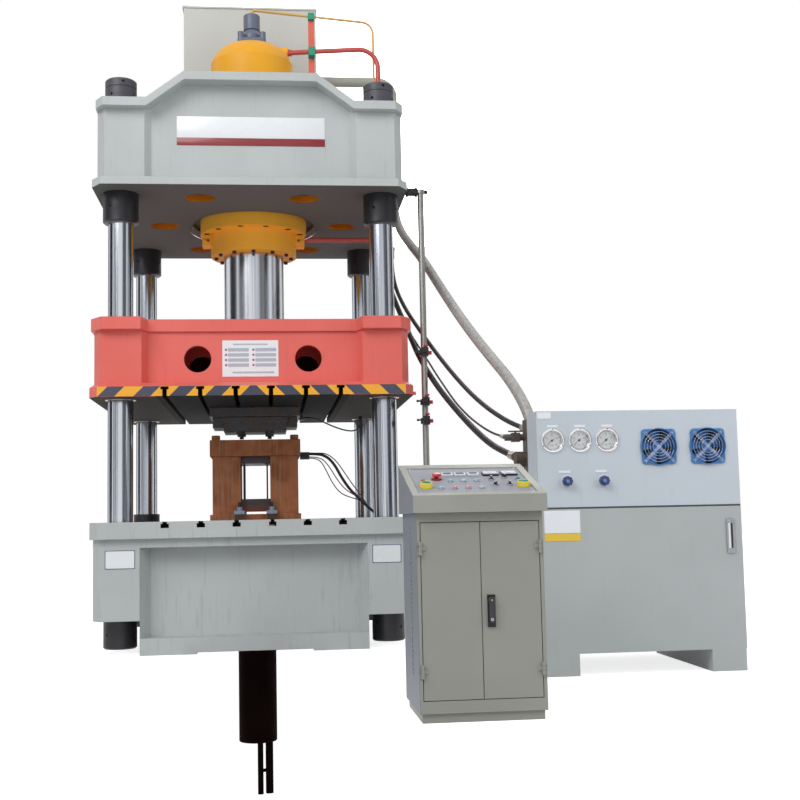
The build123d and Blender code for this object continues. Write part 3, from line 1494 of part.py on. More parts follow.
# Sloping control desk on the cabinet, with its recessed panel
desk_rise = console_back_top - console_lip_top
desk_turn = Vector(0, console_depth, desk_rise).normalized()
desk_normal = Vector(0, -desk_turn.Z, desk_turn.Y)
desk_plane = Plane(origin=(console_x, console_front, console_lip_top), x_dir=(1, 0, 0), z_dir=desk_normal)
recess_mid = desk_recess_start + desk_recess_length / 2
panel_plane = desk_plane.offset(-desk_recess_depth)
stem_radius = 8
palms = [
    ("palm_button_left", button_columns[0], palm_row, 21, 13),
    ("palm_button_right", button_columns[7], palm_row, 21, 13),
    ("emergency_stop", button_columns[1], stop_row, 19, 15),
]
collar_height = 10
palm_travel = 6
with BuildPart() as console_desk:
    with BuildSketch(Plane.YZ.offset(console_x - console_width / 2)):
        Polygon(
            (console_front, cabinet_top),
            (console_front, console_lip_top),
            (console_back, console_back_top),
            (console_back, cabinet_top),
            align=None,
        )
    extrude(amount=console_width)
    with BuildSketch(Plane.YZ.offset(console_x - console_width / 2 + desk_sheet)):
        Polygon(
            (console_front, cabinet_top),
            (console_front, console_lip_top),
            (console_back, console_back_top),
            (console_back, cabinet_top),
            align=None,
        )
        offset(amount=-desk_sheet, kind=Kind.INTERSECTION)
    extrude(amount=console_width - 2 * desk_sheet, mode=Mode.SUBTRACT)
    with BuildSketch(Plane.XY.offset(cabinet_top)):
        with Locations((console_x, body_mid)):
            Rectangle(console_body_width - 160, body_depth - 160)
    extrude(amount=desk_sheet, mode=Mode.SUBTRACT)
    with BuildSketch(desk_plane):
        with Locations((0, recess_mid)):
            Rectangle(desk_recess_width + 2 * desk_sheet, desk_recess_length + 2 * desk_sheet)
    extrude(amount=-(desk_recess_depth + desk_sheet))
    with BuildSketch(desk_plane):
        with Locations((0, recess_mid)):
            Rectangle(desk_recess_width, desk_recess_length)
    extrude(amount=-desk_recess_depth, mode=Mode.SUBTRACT)
    with BuildSketch(desk_plane):
        with Locations(*[(u, v) for _, u, v, _, _ in palms]):
            Circle(stem_radius + slip)
    extrude(amount=-2 * (desk_recess_depth + desk_sheet), mode=Mode.SUBTRACT)
console_desk.part.label = "console_desk"
export_step(console_desk.part, "parts/console_desk.step")

# Fixed fittings of the panel: collars, small buttons, lights, selectors, displays and meters
lights = [(u, light_row) for u in button_columns[2:5]]
small_buttons = [(u, small_row) for u in button_columns[1:5]]
small_buttons += [(button_columns[7], light_row + 17), (button_columns[0], light_row + 3)]
selectors = [
    (button_columns[5], light_row + 20),
    (button_columns[6], light_row + 55),
    (button_columns[5], palm_row + 21),
    (button_columns[6], palm_row + 30),
]
displays = [(u, dial_row) for u in button_columns[2:5]]
meters = [(112, dial_row + 4), (200, dial_row + 6)]
display_size = 50
meter_width = 74
meter_height = 62
dial_depth = 12
dial_rim = 4
collar_radius = 27
bezel_radius = 14
bezel_height = 6
cap_radius = 10
cap_height = 12
grip_width = 8
grip_length = 24
grip_height = 20
with BuildPart() as panel_controls:
    with BuildSketch(panel_plane):
        with Locations(*[(u, v) for _, u, v, _, _ in palms]):
            Circle(collar_radius)
            Circle(stem_radius + slip, mode=Mode.SUBTRACT)
    extrude(amount=collar_height)
    with BuildSketch(panel_plane):
        with Locations(*lights, *small_buttons, *selectors):
            Circle(bezel_radius)
    extrude(amount=bezel_height)
    with BuildSketch(panel_plane):
        with Locations(*lights, *small_buttons):
            Circle(cap_radius)
    extrude(amount=cap_height)
    with BuildSketch(panel_plane):
        with Locations(*selectors):
            RectangleRounded(grip_width, grip_length, 3)
    extrude(amount=grip_height)
    with BuildSketch(panel_plane):
        with Locations(*displays):
            Rectangle(display_size, display_size)
        with Locations(*meters):
            Rectangle(meter_width, meter_height)
    extrude(amount=dial_depth)
    with BuildSketch(panel_plane.offset(dial_depth)):
        with Locations(*displays):
            Rectangle(display_size - 2 * dial_rim, display_size - 2 * dial_rim)
        with Locations(*meters):
            Rectangle(meter_width - 2 * dial_rim, meter_height - 2 * dial_rim)
    extrude(amount=-2, mode=Mode.SUBTRACT)
panel_controls.part.label = "panel_controls"
export_step(panel_controls.part, "parts/panel_controls.step")

# Palm buttons and the emergency stop: mushroom heads on stems through their collars
for name, u, v, head_radius, head_height in palms:
    with BuildPart() as palm:
        with BuildSketch(panel_plane.offset(collar_height + palm_travel + 1)):
            with Locations((u, v)):
                Circle(head_radius)
        extrude(amount=head_height)
        fillet(palm.faces().sort_by(Axis.Z)[-1].edges(), 4)
        with BuildSketch(panel_plane.offset(collar_height + palm_travel + 1)):
            with Locations((u, v)):
                Circle(stem_radius)
        extrude(amount=-(collar_height + palm_travel + 1 + desk_sheet + 22))
    palm.part.label = name
    export_step(palm.part, f"parts/{name}.step")

# Power unit: tank on two channel feet, with its lid
unit_x = unit_left + unit_width / 2
unit_y = unit_front + unit_depth / 2
lid_sheet = 10
with BuildPart() as oil_tank:
    with BuildSketch(Plane.XY.offset(tank_bottom)):
        with Locations((unit_x, unit_y)):
            Rectangle(unit_width, unit_depth)
    extrude(amount=tank_top - lid_sheet - tank_bottom)
    with BuildSketch(Plane.XY.offset(tank_bottom + tank_sheet)):
        with Locations((unit_x, unit_y)):
            Rectangle(unit_width - 2 * tank_sheet, unit_depth - 2 * tank_sheet)
    extrude(amount=tank_top, mode=Mode.SUBTRACT)
    foot_spread = unit_width - leg_width - 10
    with BuildSketch():
        with Locations((unit_x, unit_y)):
            with GridLocations(foot_spread, 0, 2, 1):
                Rectangle(leg_width, unit_depth)
    extrude(amount=tank_bottom)
    with BuildSketch():
        with Locations((unit_x, unit_y)):
            with GridLocations(foot_spread, 0, 2, 1):
                Rectangle(leg_width - 4 * tank_sheet, unit_depth - 4 * tank_sheet)
    extrude(amount=tank_bottom - tank_sheet, mode=Mode.SUBTRACT)
oil_tank.part.label = "oil_tank"
export_step(oil_tank.part, "parts/oil_tank.step")

return_port = (1705, -2330)
port_radius = 52
port_height = 182
port_flange_radius = 80
port_flange_height = 16
with BuildPart() as tank_lid:
    with BuildSketch(Plane.XY.offset(tank_top - lid_sheet)):
        with Locations((unit_x, unit_y)):
            Rectangle(unit_width, unit_depth)
    extrude(amount=lid_sheet)
    with BuildSketch(Plane.XY.offset(tank_top)):
        with Locations(return_port):
            Circle(port_radius)
    extrude(amount=port_height)
    with BuildSketch(Plane.XY.offset(tank_top)):
        with Locations(return_port):
            Circle(port_flange_radius)
    extrude(amount=port_flange_height)
tank_lid.part.label = "tank_lid"
export_step(tank_lid.part, "parts/tank_lid.step")

# Instrument panel: folded sheet with deep side cheeks, pierced for gauges, knobs and fans
front_plane = Plane(origin=(0, unit_front, 0), x_dir=(1, 0, 0), z_dir=(0, -1, 0))
gauge_body = gauge_radius - 8
knob_stem = 8
with BuildPart() as instrument_panel:
    panel_z = (tank_top + unit_height) / 2
    with BuildSketch(front_plane):
        with Locations((unit_x, panel_z)):
            Rectangle(unit_width, unit_height - tank_top)
    extrude(amount=-panel_cheek)
    with BuildSketch(front_plane.offset(-panel_sheet)):
        with Locations((unit_x, panel_z)):
            Rectangle(unit_width - 2 * panel_sheet, unit_height - tank_top - 2 * panel_sheet)
    extrude(amount=-panel_cheek, mode=Mode.SUBTRACT)
    with BuildSketch(Plane.XY.offset(tank_top)):
        with Locations((unit_x, unit_front + 40 + panel_cheek / 2)):
            Rectangle(unit_width - 2 * panel_sheet, panel_cheek)
    extrude(amount=panel_sheet, mode=Mode.SUBTRACT)
    with BuildSketch(front_plane):
        with Locations(*[(x, gauge_z) for x in gauge_x]):
            Circle(gauge_body + 1)
        with Locations(*[(x, knob_z) for x in knob_x]):
            Circle(knob_stem + slip)
        with Locations(*[(x, fan_z) for x in fan_x]):
            Circle(fan_radius + slip)
    extrude(amount=-panel_sheet, mode=Mode.SUBTRACT)
    with BuildSketch(front_plane):
        with Locations(*[(x, knob_z) for x in knob_x]):
            Circle(16)
            Circle(knob_stem + slip, mode=Mode.SUBTRACT)
    extrude(amount=6)
instrument_panel.part.label = "instrument_panel"
export_step(instrument_panel.part, "parts/instrument_panel.step")

# Pressure gauges: flanged cases with a dial floor and a needle on a pin
dial_floor = 20
pin_radius = 2
with BuildPart() as gauge_cases:
    with BuildSketch(front_plane):
        with Locations(*[(x, gauge_z) for x in gauge_x]):
            Circle(gauge_radius)
    extrude(amount=10)
    with BuildSketch(front_plane):
        with Locations(*[(x, gauge_z) for x in gauge_x]):
            Circle(gauge_body)
    extrude(amount=-gauge_depth)
    with BuildSketch(front_plane.offset(10)):
        with Locations(*[(x, gauge_z) for x in gauge_x]):
            Circle(gauge_body - 4)
    extrude(amount=-10 - dial_floor, mode=Mode.SUBTRACT)
    with BuildSketch(front_plane.offset(-dial_floor)):
        with Locations(*[(x, gauge_z) for x in gauge_x]):
            Circle(pin_radius)
    extrude(amount=dial_floor - 6)
gauge_cases.part.label = "gauge_cases"
export_step(gauge_cases.part, "parts/gauge_cases.step")

needle_turn = 225  # direction of a needle at rest, lower left
for i, x in enumerate(gauge_x):
    with BuildPart() as needle:
        with BuildSketch(front_plane.offset(-dial_floor + 5)):
            with Locations((x, gauge_z)):
                Circle(6)
            turn = radians(needle_turn)
            with Locations((x + 15 * cos(turn), gauge_z + 15 * sin(turn))):
                Rectangle(54, 3, rotation=needle_turn)
            with Locations((x, gauge_z)):
                Circle(pin_radius + slip, mode=Mode.SUBTRACT)
        extrude(amount=2)
    needle.part.label = f"gauge_needle_{i + 1}"
    export_step(needle.part, f"parts/gauge_needle_{i + 1}.step")

# Hand knobs of the two relief valves
for name, x in (("valve_knob_left", knob_x[0]), ("valve_knob_right", knob_x[1])):
    with BuildPart() as knob:
        with BuildSketch(front_plane.offset(6 + gap)):
            with Locations((x, knob_z)):
                Circle(knob_radius)
                with PolarLocations(knob_radius + 3, 6):
                    Circle(8, mode=Mode.SUBTRACT)
        extrude(amount=26)
        with BuildSketch(front_plane.offset(6 + gap)):
            with Locations((x, knob_z)):
                Circle(knob_stem)
        extrude(amount=-(6 + gap + panel_sheet + 30))
    knob.part.label = name
    export_step(knob.part, f"parts/{name}.step")

# Fan housings in the panel, each with its guard, rear spider, motor and shaft
fan_front = 14
fan_back = 70
fan_wall = 6
hub_radius = 30
shaft_radius = 5
with BuildPart() as fan_housings:
    with BuildSketch(front_plane.offset(fan_front)):
        with Locations(*[(x, fan_z) for x in fan_x]):
            Circle(fan_radius)
            Circle(fan_radius - fan_wall, mode=Mode.SUBTRACT)
    extrude(amount=-(fan_front + fan_back))
    with BuildSketch(front_plane):
        for x in fan_x:
            with Locations((x, fan_z)):
                with PolarLocations(fan_radius + 8, 4, start_angle=45):
                    Rectangle(40, 26)
                Circle(fan_radius - 1, mode=Mode.SUBTRACT)
    extrude(amount=8)
    with BuildSketch(front_plane.offset(-fan_back)):
        for x in fan_x:
            with Locations((x, fan_z)):
                with PolarLocations((hub_radius + fan_radius) / 2 - 2, 4, start_angle=45):
                    Rectangle(fan_radius - hub_radius, 12)
                Circle(hub_radius + 6)
    extrude(amount=-8)
    with BuildSketch(front_plane.offset(-fan_back)):
        with Locations(*[(x, fan_z) for x in fan_x]):
            Circle(hub_radius + 6)
    extrude(amount=14)
    with BuildSketch(front_plane.offset(-fan_back)):
        with Locations(*[(x, fan_z) for x in fan_x]):
            Circle(shaft_radius)
    extrude(amount=fan_back - 8)
    for radius in (36, 52, 68, 84):
        with BuildSketch(front_plane.offset(fan_front)):
            with Locations(*[(x, fan_z) for x in fan_x]):
                Circle(radius + 1.5)
                Circle(radius - 1.5, mode=Mode.SUBTRACT)
        extrude(amount=-3)
    with BuildSketch(front_plane.offset(fan_front - 3)):
        for x in fan_x:
            with Locations((x, fan_z)):
                for turn in (45, 135):
                    for shift in (-5, 5):
                        angle = radians(turn + 90)
                        with Locations((shift * cos(angle), shift * sin(angle))):
                            Rectangle(2 * fan_radius - 4, 3, rotation=turn)
    extrude(amount=-3)
fan_housings.part.label = "fan_housings"
export_step(fan_housings.part, "parts/fan_housings.step")

blade_count = 5
blade_length = fan_radius - fan_wall - hub_radius - 3
for name, x in (("fan_rotor_left", fan_x[0]), ("fan_rotor_right", fan_x[1])):
    with BuildPart() as rotor:
        with BuildSketch(front_plane.offset(-20)):
            with Locations((x, fan_z)):
                Circle(hub_radius)
        extrude(amount=-34)
        for k in range(blade_count):
            angle = radians(360 / blade_count * k)
            outward = Vector(cos(angle), 0, sin(angle))
            along = Vector(-sin(angle), 0, cos(angle))
            tilt = Vector(0, -1, 0) * cos(radians(32)) + along * sin(radians(32))
            middle = Vector(x, unit_front + 37, fan_z) + outward * (hub_radius - 2 + blade_length / 2)
            with Locations(Plane(origin=middle, x_dir=outward, z_dir=tilt)):
                Box(blade_length, 46, 3)
        with BuildSketch(front_plane.offset(-20)):
            with Locations((x, fan_z)):
                Circle(shaft_radius + slip)
        extrude(amount=-34, mode=Mode.SUBTRACT)
    rotor.part.label = name
    export_step(rotor.part, f"parts/{name}.step")

# Oil level gauge on the tank's front
level_window_width = 18
level_window_height = 140
with BuildPart() as level_gauge:
    with BuildSketch(front_plane):
        with Locations((level_x, level_z)):
            RectangleRounded(46, 194, 8)
            Rectangle(level_window_width, level_window_height, mode=Mode.SUBTRACT)
    extrude(amount=14)
    with BuildSketch(front_plane):
        with Locations((level_x, level_z)):
            Rectangle(level_window_width, level_window_height)
    extrude(amount=5)
level_gauge.part.label = "level_gauge"
export_step(level_gauge.part, "parts/level_gauge.step")

# Motor and pump on the tank's lid
motor_x = 2330
motor_y = -2380
motor_radius = 140
motor_length = 420
motor_z = tank_top + 165
pump_x = motor_x - motor_length / 2
bell_radius = 115
bell_length = 90
pump_radius = 80
pump_length = 250
pump_foot = 70
pump_foot_x = pump_x - 200
with BuildPart() as pump_set:
    with Locations(Location((motor_x, motor_y, motor_z), (0, 90, 0))):
        Cylinder(motor_radius, motor_length)
    with Locations((motor_x, motor_y, tank_top + 10)):
        Box(300, 260, 20)
    with Locations((motor_x, motor_y, tank_top + 60)):
        Box(260, 160, 100)
    with Locations((motor_x, motor_y - motor_radius - 20, motor_z + 20)):
        Box(120, 80, 100)
    # The pump on its bell housing
    with Locations(Location((pump_x, motor_y, motor_z), (0, -90, 0))):
        Cylinder(bell_radius, bell_length, align=(Align.CENTER, Align.CENTER, Align.MIN))
        Cylinder(pump_radius, pump_length, align=(Align.CENTER, Align.CENTER, Align.MIN))
    with Locations((pump_foot_x, motor_y, (tank_top + motor_z) / 2)):
        Box(pump_foot, pump_foot, motor_z - tank_top)
pump_set.part.label = "pump_set"
export_step(pump_set.part, "parts/pump_set.step")

# Free hoses from the press to the power unit, as route points
hose_routes = {
    "suction_hose": [
        suction_foot,
        (suction_x, suction_y, 3560),
        (1214, 650, 3420),
        (1246, 540, 3285),
        (1296, 340, 3140),
        (1352, -20, 2930),
        (1420, -520, 2600),
        (1496, -1060, 2255),
        (1574, -1560, 1960),
        (1636, -1980, 1735),
        (1688, -2260, 1500),
        (*return_port, 1290),
        (*return_port, tank_top + port_height),
    ],
    "pressure_hose": [
        (feed_x, feed_y, feed_z - 82),
        (feed_x, feed_y, 2870),
        (1110, -110, 2690),
        (1158, -300, 2500),
        (1214, -545, 2325),
        (1288, -925, 2088),
        (1362, -1335, 1858),
        (1432, -1715, 1668),
        (1500, -2040, 1530),
        (1590, -2290, 1425),
        (1640, -2430, 1390),
    ],
    "pilot_hose": [
        (pilot_x, pilot_y, pipe_end),
        (pilot_x, pilot_y, 2965),
        (1032, 68, 2840),
        (1092, 54, 2694),
        (1127, -24, 2546),
        (1166, -154, 2415),
        (1194, -310, 2302),
        (1224, -466, 2200),
        (1254, -630, 2095),
        (1280, -800, 1994),
        (1298, -970, 1902),
        (1320, -1150, 1808),
        (1336, -1350, 1716),
        (1352, -1520, 1640),
        (1370, -1695, 1572),
        (1388, -1865, 1510),
        (1410, -2035, 1455),
        (1432, -2195, 1408),
        (1456, -2340, 1370),
        (1488, -2468, 1344),
    ],
    "return_hose": [
        (pipe_x, 0, pipe_end),
        (pipe_x, 0, 2930),
        (1050, -12, 2790),
        (1098, -76, 2618),
        (1144, -208, 2442),
        (1178, -404, 2278),
        (1216, -700, 2050),
        (1288, -1060, 1806),
        (1370, -1390, 1606),
        (1436, -1740, 1440),
        (1488, -2030, 1326),
        (1530, -2280, 1262),
        (1556, -2430, 1228),
    ],
}
hose_radii = {"suction_hose": 35, "pressure_hose": 15, "pilot_hose": 7, "return_hose": 20}
for name, points in hose_routes.items():
    bends = route_radii(points)
    print(name, "radii in diameters", [round(bend / hose_radii[name] / 2, 1) for bend in bends])
    with BuildPart() as hose:
        with BuildLine():
            FilletPolyline(*points, radius=bends)
        with BuildSketch(end_plane(points[0], points[1])):
            Circle(hose_radii[name])
        sweep()
    hose.part.label = name
    export_step(hose.part, f"parts/{name}.step")

# Crimped ferrules round the hose ends
ferrule_wall = 7
ferrule_length = 70
with BuildPart() as hose_ferrules:
    for name, points in hose_routes.items():
        radius = hose_radii[name]
        for start, towards in ((points[0], points[1]), (points[-1], points[-2])):
            with BuildSketch(end_plane(start, towards)):
                Circle(radius + ferrule_wall)
                Circle(radius + slip, mode=Mode.SUBTRACT)
            extrude(amount=ferrule_length * min(1, 0.25 + radius / 20))
hose_ferrules.part.label = "hose_ferrules"
export_step(hose_ferrules.part, "parts/hose_ferrules.step")

# Valve block behind the panel's left cheek, with the relief valves and the hose nipples
block_left = 1600
block_right = 1860
block_front = -2640
block_back = -2460
block_top = 1440
flange_body = (block_left, -2510, 1208)
flange_body_radius = 46
flange_body_length = 60
ball_valve = (block_left, -2500, 1338)
ball_valve_radius = 20
ball_valve_length = 116
ball_valve_size = 52
ball_valve_setback = 52
lever_rise = 36
relief_width = 60
relief_depth = 100
relief_height = 70
relief_bore_depth = 40
nipples = [("pressure_hose", 60), ("return_hose", 60), ("pilot_hose", 34)]
with BuildPart() as valve_block:
    with BuildSketch(Plane.XY.offset(tank_top)):
        with Locations(((block_left + block_right) / 2, (block_front + block_back) / 2)):
            Rectangle(block_right - block_left, block_back - block_front)
    extrude(amount=block_top - tank_top)
    for name, depth in nipples:
        points = hose_routes[name]
        ahead = (Vector(*points[-1]) - Vector(*points[-2])).normalized()
        with BuildSketch(Plane(origin=points[-1], z_dir=ahead)):
            Circle(hose_radii[name] + 3)
        extrude(amount=depth)
    # Flange body at the block's left that takes the return hose
    with Locations(Location(flange_body, (0, -90, 0))):
        Cylinder(flange_body_radius, flange_body_length, align=(Align.CENTER, Align.CENTER, Align.MIN))
    # Ball valve at the block's left that takes the pilot hose, with its lever on a stem
    with Locations(Location(ball_valve, (0, -90, 0))):
        Cylinder(ball_valve_radius, ball_valve_length, align=(Align.CENTER, Align.CENTER, Align.MIN))
    ball_x = block_left - ball_valve_setback
    ball_y = ball_valve[1]
    ball_z = ball_valve[2]
    with Locations((ball_x, ball_y, ball_z)):
        Box(ball_valve_size - 4, ball_valve_size, ball_valve_size)
    with Locations((ball_x, ball_y, ball_z + lever_rise)):
        Box(84, 16, 8)
    with Locations((ball_x, ball_y, ball_z + lever_rise - 12)):
        Cylinder(6, 24)
    # Relief valves behind the panel, turned by the two knobs
    for x in knob_x:
        with Locations((x, unit_front + panel_sheet + relief_depth / 2, knob_z)):
            Box(relief_width, relief_depth, relief_height)
        with BuildSketch(front_plane.offset(-panel_sheet)):
            with Locations((x, knob_z)):
                Circle(knob_stem + slip)
        extrude(amount=-relief_bore_depth, mode=Mode.SUBTRACT)
valve_block.part.label = "valve_block"
export_step(valve_block.part, "parts/valve_block.step")

# Heater cables of the two die halves, with their boots, gland and plug
boot_length = 70
boot_width = 60
boot_height = 26
boot_y = -200
boot_heights = [496, 468]  # above the table
die_boot_z = table_height + boot_heights[0]
plug_radius = 12
plug_length = 74
die_cable_route = [
    (die_width / 2 + boot_length, boot_y, die_boot_z),
    (476, boot_y, die_boot_z),
    (542, -198, 1366),
    (600, -201, 1306),
    (652, -206, 1205),
    (716, -192, 1110),
    (792, -206, 1035),
    (862, -196, 965),
    (930, -184, 912),
    (1005, -150, 902.3),
    (1050, -80, 902.3),
]
upper_cable_route = [
    (die_width / 2 + upper_boot, upper_cable_y, beam_bottom - bolster_height / 2),
    (450, upper_cable_y, beam_bottom - bolster_height / 2),
    (536, 306, 1676),
    (620, 382, 1643),
    (704, 444, 1618),
    (780, 502, 1608),
    (836, 550, 1622),
    (*cable_gland, 1655),
    (*cable_gland, beam_bottom - cable_gland_height),
]
for name, points, radius in (
    ("die_cable", die_cable_route, 11),
    ("upper_cable", upper_cable_route, 6),
):
    bends = route_radii(points)
    print(name, "radii in diameters", [round(bend / radius / 2, 1) for bend in bends])
    with BuildPart() as cable:
        with BuildLine():
            FilletPolyline(*points, radius=bends)
        with BuildSketch(end_plane(points[0], points[1])):
            Circle(radius)
        sweep()
    cable.part.label = name
    export_step(cable.part, f"parts/{name}.step")

with BuildPart() as cable_ends:
    for height in boot_heights:
        with Locations((die_width / 2 + boot_length / 2, boot_y, table_height + height)):
            Box(boot_length, boot_width, boot_height)
    ahead = Vector(*die_cable_route[-1]) - Vector(*die_cable_route[-2])
    with BuildSketch(Plane(origin=die_cable_route[-1], z_dir=ahead)):
        Circle(plug_radius)
    extrude(amount=plug_length)
cable_ends.part.label = "cable_ends"
export_step(cable_ends.part, "parts/cable_ends.step")
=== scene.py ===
"""Dresses the four-column hydraulic press: finishes, hoses, plates, gauges and the studio, in metres."""

import logging
from collections.abc import Callable, Sequence
from dataclasses import dataclass, field, replace
from enum import Enum
from math import cos, pi, radians, sin

import bmesh
import bpy
from mathutils import Matrix, Vector


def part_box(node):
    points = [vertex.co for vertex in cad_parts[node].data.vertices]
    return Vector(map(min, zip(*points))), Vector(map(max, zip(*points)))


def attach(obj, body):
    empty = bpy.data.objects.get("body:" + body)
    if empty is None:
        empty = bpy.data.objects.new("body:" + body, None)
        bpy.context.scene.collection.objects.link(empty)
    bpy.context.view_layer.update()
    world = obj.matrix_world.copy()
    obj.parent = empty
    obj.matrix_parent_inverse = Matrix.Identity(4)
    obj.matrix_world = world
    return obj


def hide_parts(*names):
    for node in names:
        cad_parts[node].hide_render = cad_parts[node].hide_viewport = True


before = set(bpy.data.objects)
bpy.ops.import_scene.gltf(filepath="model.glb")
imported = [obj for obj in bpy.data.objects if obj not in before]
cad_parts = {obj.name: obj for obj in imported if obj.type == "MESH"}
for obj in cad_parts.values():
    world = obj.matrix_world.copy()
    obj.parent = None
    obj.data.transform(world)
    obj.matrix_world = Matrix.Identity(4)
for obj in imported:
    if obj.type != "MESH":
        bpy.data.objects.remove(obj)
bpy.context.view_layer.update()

LOG = logging.getLogger("press")
Colour = tuple[float, float, float]
Point = tuple[float, float, float]
Profile = Sequence[tuple[float, float]]
Socket = bpy.types.NodeSocket
Piece = bpy.types.Object
PANEL_FACE = -2.958      # the front of the power unit's instrument panel
DARKER = 0.78            # a plain finish's second tone, as a share of its first
SMOOTH = radians(35)     # edges blunter than this are shaded smooth
SHARP = radians(40)      # edges sharper than this are softened


class Body(Enum):
    """The moving bodies that new pieces ride on."""

    FRAME = "frame"
    BEAM = "beam"
    HANDLE = "handle"
    LEFT_PALM = "left_palm_button"
    RIGHT_PALM = "right_palm_button"
    STOP = "stop_button"
    NEEDLE_1 = "needle_1"
    NEEDLE_2 = "needle_2"
    NEEDLE_3 = "needle_3"
    LEFT_KNOB = "left_knob"
    RIGHT_KNOB = "right_knob"
    LEFT_ROTOR = "left_rotor"
    RIGHT_ROTOR = "right_rotor"


class Slot(Enum):
    """Material slot names that the hoses carry; nothing here reads them."""

    FRAME_PAINT = "frame_paint"
    BEAM_PAINT = "beam_paint"
    SUCTION_HOSE = "suction_rubber"
    HOSE = "hose_rubber"
    PILOT_HOSE = "pilot_rubber"
    CABLE = "cable_rubber"
    FERRULE = "ferrule_steel"
    GAUGE = "gauge_chrome"
    NEEDLE = "needle_black"
    KNOB = "knob_blue"
    FAN = "fan_blue"
    GLASS = "level_glass"
    SHEET_PAINT = "panel_paint"
    CONTROLS = "controls"
    GREEN_CAP = "green_cap"
    BLUE_CAP = "blue_cap"
    RED_CAP = "red_cap"
    HANDLE = "handle_black"
    PIPE_PAINT = "pipe_paint"
    SWITCH = "switch_metal"


def srgb(red: int, green: int, blue: int) -> Colour:
    """Turn a colour as a screen shows it, 0 to 255, into linear light.

    Args:
        red, green, blue: the screen values.

    Returns:
        The linear colour.
    """
    shares = [value / 255 for value in (red, green, blue)]
    linear = [s / 12.92 if s <= 0.04045 else ((s + 0.055) / 1.055) ** 2.4 for s in shares]
    return (linear[0], linear[1], linear[2])


class Wires:
    """A node tree, with short calls for the nodes that the surfaces use most."""

    def __init__(self, tree: bpy.types.NodeTree) -> None:
        """Take the tree that the nodes go into."""
        self.tree = tree

    def feed(self, node: bpy.types.Node, **inputs) -> bpy.types.Node:
        """Fill or link a node's inputs.

        Args:
            node: the node.
            inputs: values or sockets by input name, or by number as in i0.

        Returns:
            The same node.
        """
        for name, value in inputs.items():
            socket = node.inputs[int(name[1:]) if name[1:].isdigit() else name.replace("_", " ")]
            if isinstance(value, Socket):
                self.tree.links.new(value, socket)
            elif socket.type == "RGBA" and len(value) == 3:
                socket.default_value = (*value, 1.0)
            else:
                socket.default_value = value
        return node

    def put(self, kind: str, options: dict | None = None, **inputs) -> bpy.types.Node:
        """Add a shader node with its own settings, and its inputs as for feed."""
        node = self.tree.nodes.new(f"ShaderNode{kind}")
        for name, value in (options or {}).items():
            setattr(node, name, value)
        return self.feed(node, **inputs)

    def maths(self, operation: str, *values: Socket | float) -> Socket:
        """Join values by one kind of maths node, from the first to the last."""
        result, *others = values
        for other in others or (0.0,):
            result = self.put("Math", {"operation": operation}, i0=result, i1=other).outputs[0]
        return result

    def vectors(self, operation: str, first: Socket, second: Socket) -> bpy.types.bpy_prop_collection:
        """Join two vectors by a maths node and give its outputs."""
        return self.put("VectorMath", {"operation": operation}, i0=first, i1=second).outputs

    def blended(self, share: Socket | float, low: Socket | Colour, high: Socket | Colour) -> Socket:
        """Mix two colours by a share."""
        return self.put("Mix", {"data_type": "RGBA"}, i0=share, i6=low, i7=high).outputs[2]

    def between(self, share: Socket | float, low: Socket | float, high: Socket | float) -> Socket:
        """Mix two numbers by a share."""
        return self.put("Mix", i0=share, i2=low, i3=high).outputs[0]

    def stepped(self, value: Socket, low: float, high: float) -> Socket:
        """Stretch a value from low to high over 0 to 1, with smooth ends."""
        options = {"interpolation_type": "SMOOTHSTEP"}
        return self.put("MapRange", options, Value=value, From_Min=low, From_Max=high).outputs[0]

    def place(self) -> Socket:
        """Give the shaded point's place in its object's space."""
        return self.put("TexCoord").outputs["Object"]

    def normal(self) -> Socket:
        """Give the way that the surface faces."""
        return self.put("NewGeometry").outputs["Normal"]

    def split(self, vector: Socket) -> bpy.types.bpy_prop_collection:
        """Give a vector's three parts."""
        return self.put("SeparateXYZ", i0=vector).outputs

    def noise(self, place: Socket, scale: Socket | float, detail: float) -> Socket:
        """Give soft noise at a place."""
        return self.put("TexNoise", Vector=place, Scale=scale, Detail=detail).outputs[0]

    def stretched(self, scale: Socket | Point) -> Socket:
        """Give the shaded point's place, stretched."""
        return self.put("Mapping", Vector=self.place(), Scale=scale).outputs[0]

    def bumped(self, strength: float, distance: float, height: Socket, normal: Socket) -> Socket:
        """Give a normal with a height's bumps on it."""
        return self.put("Bump", Strength=strength, Distance=distance, Height=height, Normal=normal).outputs[0]


class Group(Wires):
    """One shader node group with named inputs and outputs."""

    def __init__(self, name: str, inputs: dict[str, float | tuple], outputs: dict[str, str]) -> None:
        """Make the group and its sockets.

        Args:
            name: the group's name.
            inputs: each input's default value: a number, a vector of three or a colour of four.
            outputs: each output's socket type.
        """
        super().__init__(bpy.data.node_groups.new(name, "ShaderNodeTree"))
        for label, value in inputs.items():
            kind = "Float" if isinstance(value, float) else {3: "Vector", 4: "Color"}[len(value)]
            self.socket(label, "INPUT", kind).default_value = value
        for label, kind in outputs.items():
            self.socket(label, "OUTPUT", kind)
        self.given = self.tree.nodes.new("NodeGroupInput").outputs
        self.result = self.tree.nodes.new("NodeGroupOutput")

    def socket(self, label: str, side: str, kind: str) -> bpy.types.NodeTreeInterfaceSocket:
        """Add an input or an output of one kind."""
        return self.tree.interface.new_socket(label, in_out=side, socket_type=f"NodeSocket{kind}")

    def used(self, wires: Wires, **inputs) -> bpy.types.bpy_prop_collection:
        """Place the group in another tree with its own values and give its outputs."""
        return wires.put("Group", {"node_tree": self.tree}, **inputs).outputs


